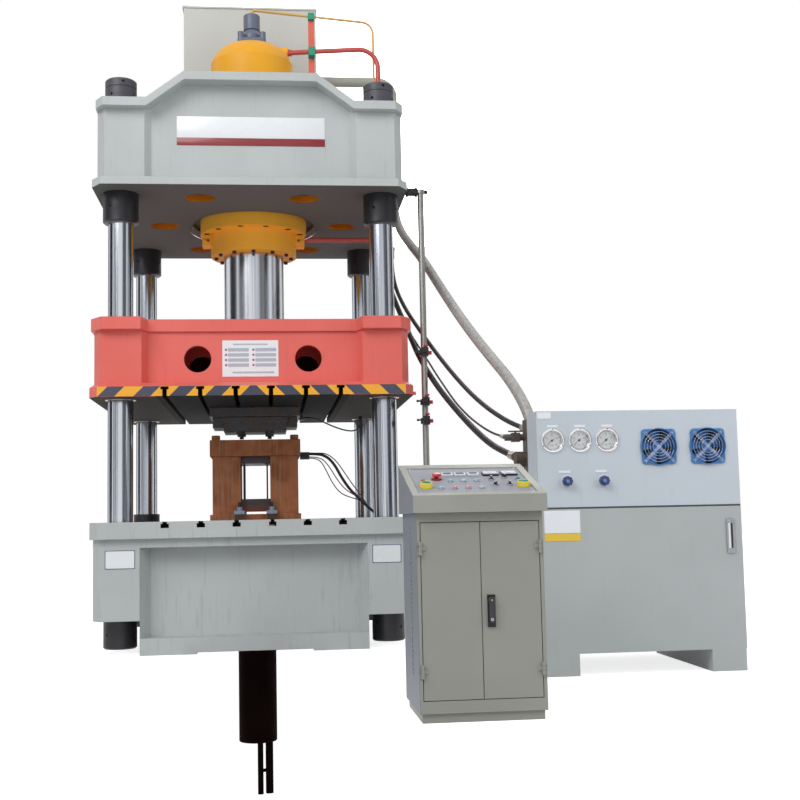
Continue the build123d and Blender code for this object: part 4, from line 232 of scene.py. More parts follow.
class Effects:
    """The effects that several finishes share, each one node group."""

    def __init__(self) -> None:
        """Build every group once."""
        self.mottle = self.make_mottle()
        self.edges = self.make_edges()
        self.grime = self.make_grime()
        self.grain = self.make_grain()
        self.inside_box = self.make_inside_box()

    @staticmethod
    def make_mottle() -> Group:
        """Cloudy change between two tones, with a fine skin for the bump."""
        base, tone = (0.5, 0.5, 0.5, 1), (0.4, 0.4, 0.4, 1)
        group = Group(
            "mottle", {"Base": base, "Tone": tone, "Scale": 3.0, "Amount": 0.5, "Roughness": 0.4, "Skin": 60.0},
            {"Color": "Color", "Roughness": "Float", "Height": "Float"},
        )
        given = group.given
        place = group.place()
        cloud = group.noise(place, given["Scale"], 6.0)
        share = group.maths("MULTIPLY", group.stepped(cloud, 0.35, 0.7), given["Amount"])
        change = group.maths("MULTIPLY", group.maths("SUBTRACT", cloud, 0.5), 0.35)
        group.feed(
            group.result, Color=group.blended(share, given["Base"], given["Tone"]),
            Roughness=group.maths("ADD", given["Roughness"], change),
            Height=group.noise(place, given["Skin"], 3.0),
        )
        return group

    @staticmethod
    def make_edges() -> Group:
        """Softened edges, and a broken mask of where they are rubbed."""
        inputs = {"Radius": 0.004, "Amount": 0.5, "Scale": 40.0}
        group = Group("edges", inputs, {"Normal": "Vector", "Mask": "Float"})
        given = group.given
        rounded = group.put("Bevel", {"samples": 4}, Radius=given["Radius"]).outputs[0]
        match = group.vectors("DOT_PRODUCT", rounded, group.normal())["Value"]
        turned = group.stepped(group.maths("SUBTRACT", 1.0, match), 0.03, 0.2)
        broken = group.stepped(group.noise(group.place(), given["Scale"], 5.0), 0.45, 0.62)
        group.feed(group.result, Normal=rounded, Mask=group.maths("MULTIPLY", turned, broken, given["Amount"]))
        return group

    @staticmethod
    def make_grime() -> Group:
        """Dust on what faces up and streaks that run down."""
        group = Group("grime", {"Dust": 0.3, "Streaks": 0.2, "Scale": 5.0}, {"Mask": "Float"})
        given = group.given
        flat = group.noise(group.place(), given["Scale"], 8.0)
        runs = group.noise(group.stretched((9.0, 9.0, 0.7)), given["Scale"], 5.0)
        facing_up = group.stepped(group.split(group.normal())[2], 0.5, 0.95)
        dust = group.maths("MULTIPLY", facing_up, group.stepped(flat, 0.3, 0.75), given["Dust"])
        streaks = group.maths("MULTIPLY", group.stepped(runs, 0.56, 0.78), given["Streaks"])
        group.feed(group.result, Mask=group.maths("MAXIMUM", dust, streaks))
        return group

    @staticmethod
    def make_grain() -> Group:
        """Fine lines left by turning, grinding or brushing, along one direction."""
        group = Group("grain", {"Stretch": (1, 1, 60), "Scale": 8.0}, {"Lines": "Float"})
        given = group.given
        group.feed(group.result, Lines=group.noise(group.stretched(given["Stretch"]), given["Scale"], 8.0))
        return group

    @staticmethod
    def make_inside_box() -> Group:
        """One inside a box of the object's space and nought outside it."""
        group = Group("inside box", {"Low": (-1, -1, -1), "High": (1, 1, 1)}, {"Mask": "Float"})
        given = group.given
        place = group.place()
        above = group.vectors("SUBTRACT", place, given["Low"])[0]
        below = group.vectors("SUBTRACT", given["High"], place)[0]
        least = group.maths("MINIMUM", *group.split(group.vectors("MINIMUM", above, below)[0]))
        group.feed(group.result, Mask=group.maths("GREATER_THAN", least, 0.0))
        return group


EFFECTS = Effects()


@dataclass(frozen=True)
class Surface:
    """What a piece can be made of, under its material's name."""

    name: str

    def material(self) -> bpy.types.Material:
        """Give this surface's material, made the first time.

        Returns:
            The material.
        """
        made = bpy.data.materials.get(self.name)
        if not made:
            made = bpy.data.materials.new(self.name)
            made.use_nodes = True
            self.dress(Wires(made.node_tree), made.node_tree.nodes["Principled BSDF"])
        return made

    def dress(self, wires: Wires, shader: bpy.types.Node) -> None:
        """Set up the new material's shader."""
        raise NotImplementedError(self.name)


@dataclass(frozen=True)
class Zone:
    """A box of a piece's space whose surfaces have another colour."""

    low: Point
    high: Point
    colour: Colour
    metallic: float = 0.0
    roughness: float = 0.5


@dataclass(frozen=True)
class Finish(Surface):
    """A finish of one surface: two tones, gloss, grain, edges and grime."""

    colour: Colour
    tone: Colour
    roughness: float = 0.4
    metallic: float = 0.0
    coat: float = 0.0
    specular: float = 0.5
    scale: float = 3.0
    mottle: float = 0.5
    skin: float = 60.0
    skin_depth: float = 0.1
    edge: float = 0.003
    rub: float = 0.0
    rub_colour: Colour = (0.3, 0.3, 0.3)
    dust: float = 0.0
    streaks: float = 0.0
    grime: Colour = (0.16, 0.14, 0.11)
    lines: float = 0.0
    line_colour: Colour = (0.5, 0.5, 0.5)
    line_stretch: Point = (30.0, 30.0, 0.8)
    zones: tuple[Zone, ...] = ()

    def dress(self, wires: Wires, shader: bpy.types.Node) -> None:
        """Lay tones, lines, rubbed edges, grime, zones and marks over one another."""
        skin = EFFECTS.mottle.used(
            wires, Base=self.colour, Tone=self.tone, Scale=self.scale, Amount=self.mottle,
            Roughness=self.roughness, Skin=self.skin,
        )
        colour = skin["Color"]
        if self.lines:
            grain = EFFECTS.grain.used(wires, Stretch=self.line_stretch, Scale=4.0)["Lines"]
            drawn = wires.maths("MULTIPLY", wires.stepped(grain, 0.48, 0.72), self.lines)
            colour = wires.blended(drawn, colour, self.line_colour)
        edges = EFFECTS.edges.used(wires, Radius=self.edge, Amount=self.rub)
        if self.rub:
            colour = wires.blended(edges["Mask"], colour, self.rub_colour)
        if self.dust or self.streaks:
            mask = EFFECTS.grime.used(wires, Dust=self.dust, Streaks=self.streaks)["Mask"]
            colour = wires.blended(mask, colour, self.grime)
        metallic = self.metallic
        roughness = skin["Roughness"]
        for zone in self.zones:
            mask = EFFECTS.inside_box.used(wires, Low=zone.low, High=zone.high)["Mask"]
            colour = wires.blended(mask, colour, zone.colour)
            roughness = wires.between(mask, roughness, zone.roughness)
            if zone.metallic != self.metallic:
                metallic = wires.between(mask, metallic, zone.metallic)
        wires.feed(
            shader, Base_Color=self.marked(wires, colour), Roughness=roughness, Metallic=metallic,
            Coat_Weight=self.coat, Specular_IOR_Level=self.specular,
            Normal=wires.bumped(self.skin_depth, 0.002, skin["Height"], edges["Normal"]),
        )

    def marked(self, wires: Wires, colour: Socket) -> Socket:
        """Add the finish's own painted marks, none on a plain finish."""
        return colour


@dataclass(frozen=True)
class StripedPaint(Finish):
    """The beam's paint, with the slanted stripes along its front and back lip."""

    pitch: float = 0.24
    share: float = 0.53
    low: float = 1.738
    high: float = 1.807
    reach: float = 1.052
    face: float = 1.15
    yellow: Colour = srgb(246, 178, 60)
    dark: Colour = srgb(78, 80, 96)

    def marked(self, wires: Wires, colour: Socket) -> Socket:
        """Lay the stripes over the paint inside the lip's front and back strips."""
        maths = wires.maths
        place = wires.split(wires.place())
        across = maths("ABSOLUTE", place[0])
        lean = maths("SUBTRACT", place[2], (self.low + self.high) / 2)
        run = maths("ADD", across, lean, self.pitch * self.share / 2)
        turn = maths("FRACT", maths("DIVIDE", maths("SUBTRACT", run, self.pitch / 2), self.pitch))
        stripes = wires.blended(maths("LESS_THAN", turn, self.share), self.dark, self.yellow)
        band = maths(
            "MULTIPLY",
            maths("LESS_THAN", across, self.reach),
            maths("GREATER_THAN", place[2], self.low + 0.002),
            maths("LESS_THAN", place[2], self.high),
            maths("GREATER_THAN", maths("ABSOLUTE", place[1]), self.face),
            maths("GREATER_THAN", maths("ABSOLUTE", wires.split(wires.normal())[1]), 0.5),
        )
        return wires.blended(band, colour, stripes)


@dataclass(frozen=True)
class Ground(Surface):
    """Ground and polished bar: bright metal with faint rings, and light and dark streaks drawn along it that are partly
    polishing marks and partly painted reflection.
    """

    colour: Colour
    # band: the darker tone of the ring marks and of the painted reflection streaks
    band: Colour
    roughness: float = 0.14
    rings: float = 40.0
    drawn: float = 26.0

    def dress(self, wires: Wires, shader: bpy.types.Node) -> None:
        """Draw the streaks along the bar, partly polishing marks and partly painted reflection, and the rings round it.
        """
        rings = EFFECTS.grain.used(wires, Stretch=(0.6, 0.6, self.rings), Scale=4.0)["Lines"]
        polish_and_reflection = EFFECTS.grain.used(wires, Stretch=(self.drawn, self.drawn, 0.12), Scale=1.0)["Lines"]
        edges = EFFECTS.edges.used(wires, Radius=0.002, Amount=0.0)["Normal"]
        # painted reflection: light and dark streaks along the bar, mixed with polishing marks
        colour = wires.blended(wires.stepped(polish_and_reflection, 0.4, 0.66), self.colour, self.band)
        ringed = wires.maths("MULTIPLY", wires.stepped(rings, 0.6, 0.8), 0.12)
        change = wires.maths("MULTIPLY", wires.maths("SUBTRACT", polish_and_reflection, 0.5), 0.2)
        wires.feed(
            shader, Base_Color=wires.blended(ringed, colour, self.band), Metallic=1.0,
            Roughness=wires.maths("ADD", change, self.roughness), Normal=wires.bumped(0.01, 0.001, rings, edges),
        )


@dataclass(frozen=True)
class Clear(Surface):
    """Clear glass."""

    def dress(self, wires: Wires, shader: bpy.types.Node) -> None:
        """Let the light through."""
        wires.feed(shader, Base_Color=(1.0, 1.0, 1.0), Roughness=0.02, Transmission_Weight=1.0, IOR=1.45)


@dataclass(frozen=True)
class FloorPaint(Surface):
    """Pale grey that the camera and gloss see glow, so that it runs on into the white all round."""

    glow: float = 0.78

    def dress(self, wires: Wires, shader: bpy.types.Node) -> None:
        """Glow for the camera and for gloss, fully so down in the pit."""
        path = wires.put("LightPath").outputs
        seen = wires.maths("MAXIMUM", path["Is Camera Ray"], path["Is Glossy Ray"])
        sunk = wires.maths("LESS_THAN", wires.split(wires.place())[2], -0.01)
        glow = wires.maths("MULTIPLY", seen, wires.between(sunk, self.glow, 1.0))
        wires.feed(
            shader, Base_Color=(0.62, 0.62, 0.62), Roughness=0.9, Emission_Color=(1.0, 1.0, 1.0),
            Emission_Strength=glow,
        )


def plain(name: str, screen: tuple[int, int, int], roughness: float = 0.4, **rest) -> Finish:
    """A finish of one screen colour, whose second tone is darker."""
    colour = srgb(*screen)
    return Finish(name, colour, (colour[0] * DARKER, colour[1] * DARKER, colour[2] * DARKER), roughness, **rest)


def moulded(name: str, screen: tuple[int, int, int], roughness: float = 0.35, **rest) -> Finish:
    """Moulded plastic, nearly even in tone."""
    return plain(name, screen, roughness, scale=20.0, mottle=0.2, **rest)


CHROME = plain("bezel_chrome", (232, 232, 234), 0.16, metallic=1.0, scale=20.0, mottle=0.15)
SILVER = plain("level_silver", (170, 172, 182), 0.3, metallic=0.6, scale=16.0, mottle=0.3)
BLACK = moulded("dial_black", (26, 26, 30), 0.45)


def crown_zones(low: Vector, high: Vector) -> tuple[Zone, ...]:
    """Orange primer inside the crown's cells, and grey painted shade under it and in its recess."""
    wall, skin = 0.16, 0.0015
    # painted shade: grey for the shade under the crown and in the recess round the cylinder
    painted_underside_shade = srgb(96, 100, 98)
    primer = srgb(214, 128, 24)
    return (
        Zone((low.x + wall, low.y + wall, low.z + skin), (high.x - wall, high.y - wall, low.z + 0.56), primer),
        Zone((-0.5, -0.5, low.z), (0.5, 0.5, low.z + 0.06), painted_underside_shade, roughness=0.9),
        Zone((low.x, low.y, low.z - skin), (high.x, high.y, low.z + skin), painted_underside_shade, roughness=0.9),
    )


def bed_zones(low: Vector, high: Vector) -> tuple[Zone, ...]:
    """Planed steel on the table's face, and black painted shade in its slots."""
    skin = 0.0015
    top = high.z - skin
    return (
        Zone((low.x, low.y, top), (high.x, high.y, high.z + 0.01), srgb(128, 124, 120), 0.9, 0.35),
        # painted shade: black inside the table's slots
        Zone((-0.65, low.y + skin, high.z - 0.06), (0.65, high.y - skin, top), srgb(20, 20, 22), 0.0, 0.7),
    )


def beam_finish() -> StripedPaint:
    """Coral red paint with the striped lip, the planed underside darkened further by painted shade, and black painted
    shade in the slots.
    """
    low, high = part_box("moving_beam")
    foot = 1.738
    # painted shade: the underside nearly black, partly its planed metal's own dark tone and partly the shade under the
    # beam
    under = Zone((low.x, low.y, low.z - 0.01), (high.x, high.y, foot + 0.0015), srgb(56, 50, 48), 0.0, 0.85)
    # painted shade: black inside the T-slots, where shade falls
    slots = Zone((-0.66, low.y - 0.01, foot - 0.01), (0.66, high.y + 0.01, foot + 0.0685), srgb(12, 11, 11), 0.0, 0.9)
    return StripedPaint(
        "beam_enamel", srgb(232, 115, 106), srgb(219, 101, 92), 0.42, specular=0.3, scale=1.4, mottle=0.6,
        rub=0.5, rub_colour=srgb(150, 60, 50), dust=0.25, streaks=0.12, edge=0.007, zones=(under, slots),
    )


def cad_finishes() -> dict[str, Surface]:
    """The finish of each CAD node that stays as it is.

    Returns:
        Finishes by node name.
    """
    enamel = Finish(
        "frame_enamel", srgb(192, 197, 198), srgb(179, 184, 183), 0.45, specular=0.3, scale=1.6, mottle=0.6,
        rub=0.4, rub_colour=srgb(120, 112, 100), dust=0.35, streaks=0.1, edge=0.006,
    )
    sheet = plain("sheet_paint", (180, 186, 187), 0.45, specular=0.3, scale=1.2, mottle=0.35, dust=0.2, streaks=0.06)
    # painted shade: the cabinet's and the desk's left faces darker and bluer, where they stand in shade
    shade = srgb(122, 128, 138)
    console = plain("console_paint", (154, 155, 148), 0.5, specular=0.3, scale=2.0, mottle=0.3, dust=0.2, skin=220.0)
    low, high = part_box("console_cabinet")
    # the cabinet's left face takes the painted shade
    cabinet = replace(
        console, name="cabinet_paint",
        zones=(Zone((low.x - 0.01, low.y, low.z - 0.01), (low.x + 0.0015, high.y + 0.01, high.z + 0.01), shade),),
    )
    right_door = replace(
        console, name="right_door_enamel",
        zones=(Zone((1.029, -4.34, 0.399), (1.065, -4.3205, 0.539), srgb(30, 30, 33), roughness=0.45),),
    )
    low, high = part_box("console_desk")
    # the desk's left face takes the painted shade
    desk = replace(
        console, name="desk_enamel", colour=srgb(163, 164, 157),
        zones=(Zone((low.x - 0.01, low.y - 0.01, low.z - 0.01), (low.x + 0.0015, high.y, high.z + 0.01), shade),),
    )
    black = plain("black_oxide", (46, 46, 50), 0.42, metallic=0.4, scale=14.0, rub=0.6, rub_colour=srgb(120, 116, 112))
    # painted light: brighter orange on the cylinder's lower part and on the gland, under the crown's shade
    painted_light = srgb(255, 192, 66)
    orange = plain(
        "cylinder_enamel", (242, 174, 48), 0.45, specular=0.25, scale=2.5, mottle=0.4, rub=0.3, streaks=0.08,
        zones=(Zone((-0.7, -0.7, 2.9), (0.7, 0.7, 3.5), painted_light, roughness=0.6),),
    )
    valve = plain("valve_enamel", (104, 112, 130), 0.4, scale=9.0, rub=0.5, dust=0.3)
    rust = Finish(
        "rusted_die", srgb(196, 124, 82), srgb(160, 96, 64), roughness=0.65, specular=0.3, scale=9.0, mottle=0.9,
        skin=90.0, skin_depth=0.25, rub=0.5, rub_colour=srgb(150, 128, 110), edge=0.003,
        lines=0.6, line_colour=srgb(190, 156, 128),
    )
    dark_die = Finish(
        "blackened_die", srgb(78, 78, 84), srgb(98, 84, 76), roughness=0.5, metallic=0.5, scale=9.0, mottle=0.9,
        rub=1.0, rub_colour=srgb(176, 178, 184), skin_depth=0.25, edge=0.005,
    )
    ochre = srgb(216, 172, 100)
    pilot_run = Zone((-0.03, -0.03, 4.82), (1.03, 0.1, 5.02), ochre)
    pilot_drop = Zone((0.962, 0.036, 3.0), (1.006, 0.1, 4.9), ochre)
    red = plain(
        "pipe_red", (200, 84, 78), 0.35, coat=0.2, scale=8.0, rub=0.4, rub_colour=srgb(120, 60, 50),
        zones=(pilot_run, pilot_drop),
    )
    clip_green = srgb(36, 150, 122)
    upper_clip = Zone((0.4, -0.1, 4.931), (0.6, 0.1, 4.992), clip_green)
    lower_clip = Zone((0.4, -0.1, 4.611), (0.6, 0.1, 4.686), clip_green)
    return {
        # the columns and the ram carry painted reflection streaks along them, from the Ground finish
        "columns": Ground("ground_columns", srgb(202, 207, 214), srgb(158, 163, 175), 0.17, 36.0),
        "ram": Ground("ground_ram", srgb(206, 209, 216), srgb(166, 169, 180), 0.2, 24.0, drawn=34.0),
        "bed_nuts": black,
        "column_collars": black,
        "crown_top_nuts": plain("top_nut_oxide", (74, 74, 82), 0.5, scale=14.0, rub=0.4),
        "bed": replace(
            enamel, name="bed_enamel", rub=0.7, dust=0.3, streaks=0.22, zones=bed_zones(*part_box("bed")),
        ),
        "ejector_cylinder": plain("ejector_enamel", (30, 17, 16), 0.8, specular=0.04, scale=6.0, mottle=0.6),
        "ejector_rod": plain("ejector_rod_black", (34, 32, 34), 0.45, metallic=0.3, specular=0.2, scale=20.0),
        "moving_beam": beam_finish(),
        "guide_bushes": plain("bush_bronze", (178, 132, 78), 0.3, metallic=1.0, scale=20.0),
        "ram_clamp_ring": plain("ring_red", (206, 96, 84), 0.4, scale=8.0, rub=0.5),
        "main_cylinder": orange,
        "gland_ring": orange,
        "ram_bush": plain("ram_bronze", (176, 126, 70), 0.3, metallic=1.0, scale=20.0),
        "cylinder_screws": black,
        "filling_valve": valve,
        "crown": replace(enamel, name="crown_enamel", zones=crown_zones(*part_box("crown"))),
        "oil_box": replace(sheet, name="oil_box_paint", colour=srgb(204, 206, 201), tone=srgb(188, 190, 184)),
        "suction_pipe": plain("duct_paint", (166, 168, 158), 0.45, coat=0.1, scale=2.0, dust=0.2),
        "rigid_pipes": red,
        "pipe_post": plain("post_enamel", (226, 106, 88), 0.42, scale=6.0, rub=0.4, zones=(upper_clip, lower_clip)),
        "switch_pole": plain(
            "pole_steel", (158, 157, 153), 0.34, metallic=0.8, scale=6.0,
            zones=(Zone((1.09, -1.05, 3.2), (1.187, -0.95, 3.25), srgb(30, 30, 32)),),
        ),
        "limit_switches": plain(
            "switch_black", (40, 40, 44), 0.42, metallic=0.3, scale=14.0, rub=0.5,
            zones=(Zone((1.2405, -1.05, 1.5), (1.27, -0.95, 2.1), srgb(196, 40, 60), roughness=0.35),),
        ),
        "lower_die": rust,
        "die_inserts": replace(
            dark_die, name="browned_inserts",
            zones=(Zone((-0.2, -0.6, 0.8), (0.2, 0.6, 1.004), srgb(128, 80, 68), roughness=0.6),),
        ),
        "die_clamps": plain(
            "clamp_grey", (158, 170, 188), 0.45, metallic=0.3, scale=20.0, mottle=0.8,
            zones=(
                Zone((-0.3, -0.6, 0.8), (0.3, 0.6, 0.9355), srgb(70, 52, 48)),
                Zone((-0.3, -0.6, 0.9885), (0.3, 0.6, 1.1), srgb(46, 46, 52)),
            ),
        ),
        "upper_bolster": dark_die,
        "upper_die": dark_die,
        "console_cabinet": cabinet,
        "door_left": console,
        "door_right": right_door,
        "console_desk": desk,
        "oil_tank": sheet,
        "tank_lid": sheet,
        "instrument_panel": replace(
            sheet, name="instrument_enamel", colour=srgb(199, 208, 217), tone=srgb(182, 191, 198),
        ),
        "pump_set": plain("motor_blue", (70, 92, 120), 0.45, scale=6.0, rub=0.4, dust=0.4),
        "valve_block": plain("block_grey", (98, 88, 82), 0.48, metallic=0.5, scale=14.0, mottle=0.8, dust=0.3),
        "cable_ends": plain("plug_black", (38, 38, 40), 0.5, scale=30.0),
    }


def deselect() -> None:
    """Leave edit mode and select nothing."""
    if bpy.context.mode != "OBJECT":
        bpy.ops.object.mode_set(mode="OBJECT")
    bpy.ops.object.select_all(action="DESELECT")


def choose(obj: Piece) -> Piece:
    """Select one object alone and make it active."""
    deselect()
    obj.select_set(True)
    bpy.context.view_layer.objects.active = obj
    return obj


def linked(name: str, data: bpy.types.ID) -> Piece:
    """Make an object of some data and link it to the scene."""
    obj = bpy.data.objects.new(name, data)
    bpy.context.scene.collection.objects.link(obj)
    return obj


def begin(name: str) -> Piece:
    """Name the new primitive and bake its place into its mesh."""
    obj = bpy.context.object
    obj.name = name
    obj.data.name = name
    bpy.ops.object.transform_apply(location=True, rotation=True, scale=True)
    return obj


def edit_all() -> None:
    """Open edit mode on the active piece with all of it selected."""
    bpy.ops.object.mode_set(mode="EDIT")
    bpy.ops.mesh.select_all(action="SELECT")


def pick_faces(obj: Piece, test: Callable[[bpy.types.MeshPolygon], bool]) -> None:
    """Open edit mode with only the faces that pass a test selected."""
    if bpy.context.mode != "OBJECT":
        bpy.ops.object.mode_set(mode="OBJECT")
    bpy.ops.object.mode_set(mode="EDIT")
    bpy.ops.mesh.select_mode(type="FACE")
    bpy.ops.mesh.select_all(action="DESELECT")
    bpy.ops.object.mode_set(mode="OBJECT")
    for face in obj.data.polygons:
        face.select = test(face)
    bpy.ops.object.mode_set(mode="EDIT")


def soften(obj: Piece, width: float, segments: int = 2) -> Piece:
    """Round a piece's sharp edges and smooth what is left between them."""
    choose(obj)
    bevel = obj.modifiers.new("rounded", "BEVEL")
    bevel.width = width
    bevel.segments = segments
    bevel.angle_limit = SHARP
    bpy.ops.object.modifier_apply(modifier=bevel.name)
    bpy.ops.object.shade_smooth_by_angle(angle=SMOOTH)
    return obj


def upright(origin: Sequence[float], tilt: float = pi / 2) -> Matrix:
    """Give the turn from a piece drawn flat, facing up, to a face that leans by the tilt."""
    return Matrix.Translation(origin) @ Matrix.Rotation(tilt, 4, "X")


def shift(x: float = 0.0, y: float = 0.0, z: float = 0.0) -> Matrix:
    """Give a plain move."""
    return Matrix.Translation((x, y, z))


def turn(degrees: float) -> Matrix:
    """Give a turn about the vertical of a piece drawn flat."""
    return Matrix.Rotation(radians(degrees), 4, "Z")


def placed(obj: Piece, place: Matrix | None) -> Piece:
    """Move a piece's mesh to its place, if it isn't there yet, and leave its object at the origin."""
    if place is not None:
        obj.data.transform(place)
        obj.data.update()
    return obj


def painted(obj: Piece, finish: Surface, place: Matrix | None = None) -> Piece:
    """Give a part its one material and move its mesh to its place, before it is joined to others."""
    obj.data.materials.clear()
    obj.data.materials.append(finish.material())
    return placed(obj, place)


def copied(obj: Piece, place: Matrix) -> Piece:
    """Copy a part with its own mesh and move the copy."""
    twin = obj.copy()
    twin.data = obj.data.copy()
    bpy.context.scene.collection.objects.link(twin)
    return placed(twin, place)


def mounted(
    name: str, parts: Sequence[Piece], body: Body, place: Matrix | None = None, stands_for: str = "",
) -> Piece:
    """Join parts into one piece and put it where it belongs, its object at the origin.

    Args:
        name: the piece's name.
        parts: its parts, each with its material.
        body: the body that it moves with.
        place: its place, if the parts aren't there yet.
        stands_for: the CAD node that it replaces, if any.

    Returns:
        The piece.
    """
    deselect()
    for part in parts:
        part.select_set(True)
    bpy.context.view_layer.objects.active = parts[0]
    if len(parts) > 1:
        bpy.ops.object.join()
    obj = bpy.context.object
    obj.name = name
    obj.data.name = name
    placed(obj, place)
    deselect()
    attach(obj, body.value)
    if stands_for:
        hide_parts(stands_for)
    LOG.info("%s rides on %s", obj.name, body.value)
    return obj


def block(low: Sequence[float], high: Sequence[float]) -> Piece:
    """Add a block between its lowest and its highest corner."""
    deselect()
    middle = (Vector(low) + Vector(high)) / 2
    bpy.ops.mesh.primitive_cube_add(size=1, location=middle, scale=Vector(high) - Vector(low))
    return begin("block")


def slab(
    middle: tuple[float, float], size: tuple[float, float], low: float, high: float,
    corner: float = 0.003, edge: float = 0.0005,
) -> Piece:
    """Add a flat plate with rounded corners and softened edges.

    Args:
        middle: its middle, seen from above.
        size: its width and length.
        low: the height of its underside.
        high: the height of its top.
        corner: the radius of its corners.
        edge: how wide its edges are softened.

    Returns:
        The plate.
    """
    deselect()
    bpy.ops.mesh.primitive_plane_add(size=1, location=(*middle, low))
    bpy.context.object.scale = (*size, 1.0)
    obj = begin("slab")
    edit_all()
    bpy.ops.mesh.bevel(offset=corner, segments=4, affect="VERTICES")
    bpy.ops.mesh.select_all(action="SELECT")
    bpy.ops.mesh.extrude_region_move(TRANSFORM_OT_translate={"value": (0, 0, high - low)})
    bpy.ops.mesh.select_all(action="SELECT")
    bpy.ops.mesh.normals_make_consistent(inside=False)
    bpy.ops.object.mode_set(mode="OBJECT")
    return soften(obj, edge, 1)


def bored(obj: Piece, x: float, y: float, radius: float, sides: int = 64) -> Piece:
    """Drill a round hole straight down through a flat piece."""
    deselect()
    bpy.ops.mesh.primitive_cylinder_add(vertices=sides, radius=radius, depth=1.0, location=(x, y, 0))
    drill = bpy.context.object
    choose(obj)
    cut = obj.modifiers.new("drilled", "BOOLEAN")
    cut.operation = "DIFFERENCE"
    cut.object = drill
    bpy.ops.object.modifier_apply(modifier=cut.name)
    bpy.data.objects.remove(drill)
    return obj


def spun(profile: Profile, sides: int = 40, loop: bool = True) -> Piece:
    """Turn a profile about the Z axis.

    Args:
        profile: the radius and height of each point, round the section.
        sides: how many flats stand for the round.
        loop: whether the profile closes on itself, as a ring's does, or ends on the axis.

    Returns:
        The turned piece.
    """
    count = len(profile)
    data = bpy.data.meshes.new("turned")
    edges = [(i, (i + 1) % count) for i in range(count if loop else count - 1)]
    data.from_pydata([(r, 0, z) for r, z in profile], edges, [])
    obj = choose(linked("turned", data))
    edit_all()
    bpy.ops.mesh.spin(steps=sides, angle=2 * pi, center=(0, 0, 0), axis=(0, 0, 1))
    bpy.ops.mesh.select_all(action="SELECT")
    bpy.ops.mesh.remove_doubles(threshold=1e-6)
    bpy.ops.mesh.normals_make_consistent(inside=False)
    bpy.ops.object.mode_set(mode="OBJECT")
    bpy.ops.object.shade_smooth_by_angle(angle=SMOOTH)
    return obj


def turned(profile: Profile, finish: Surface, place: Matrix | None = None, sides: int = 32) -> Piece:
    """Turn a solid whose profile ends on the axis, with its finish and at its place."""
    return painted(spun(profile, sides, loop=False), finish, place)


def smooth_line(name: str, points: Sequence[Point], resolution: int) -> Piece:
    """Lay a smooth curve over points, from the first to the last."""
    data = bpy.data.curves.new(name, "CURVE")
    data.dimensions = "3D"
    data.resolution_u = resolution
    spline = data.splines.new("NURBS")
    spline.points.add(len(points) - 1)
    for point, place in zip(spline.points, points):
        point.co = (*place, 1.0)
    spline.order_u = 3
    spline.use_endpoint_u = True
    return linked(name, data)


def thicken(curve: Piece, radius: float, sides: int) -> Piece:
    """Make a curve a round bar with closed ends."""
    curve.data.bevel_depth = radius
    curve.data.bevel_resolution = sides
    curve.data.use_fill_caps = True
    return curve


def wire(points: Sequence[Point], radius: float, finish: Surface, place: Matrix | None = None, sides: int = 2) -> Piece:
    """Lay a round bar through points on a smooth curve and make it a mesh."""
    choose(thicken(smooth_line("wire", points, 12), radius, sides))
    bpy.ops.object.convert(target="MESH")
    bpy.ops.object.shade_smooth_by_angle(angle=radians(50))
    return painted(bpy.context.object, finish, place)


def lettered(words: str, size: float, x: float, y: float, z: float, finish: Surface) -> Piece:
    """Set a number or a unit on a dial, thin and flat."""
    deselect()
    bpy.ops.object.text_add(location=(x, y, z))
    text = bpy.context.object.data
    text.body = words
    text.size = size
    text.align_x = text.align_y = "CENTER"
    text.extrude = 0.0002
    text.resolution_u = 3
    bpy.ops.object.convert(target="MESH")
    return painted(begin("letters"), finish)


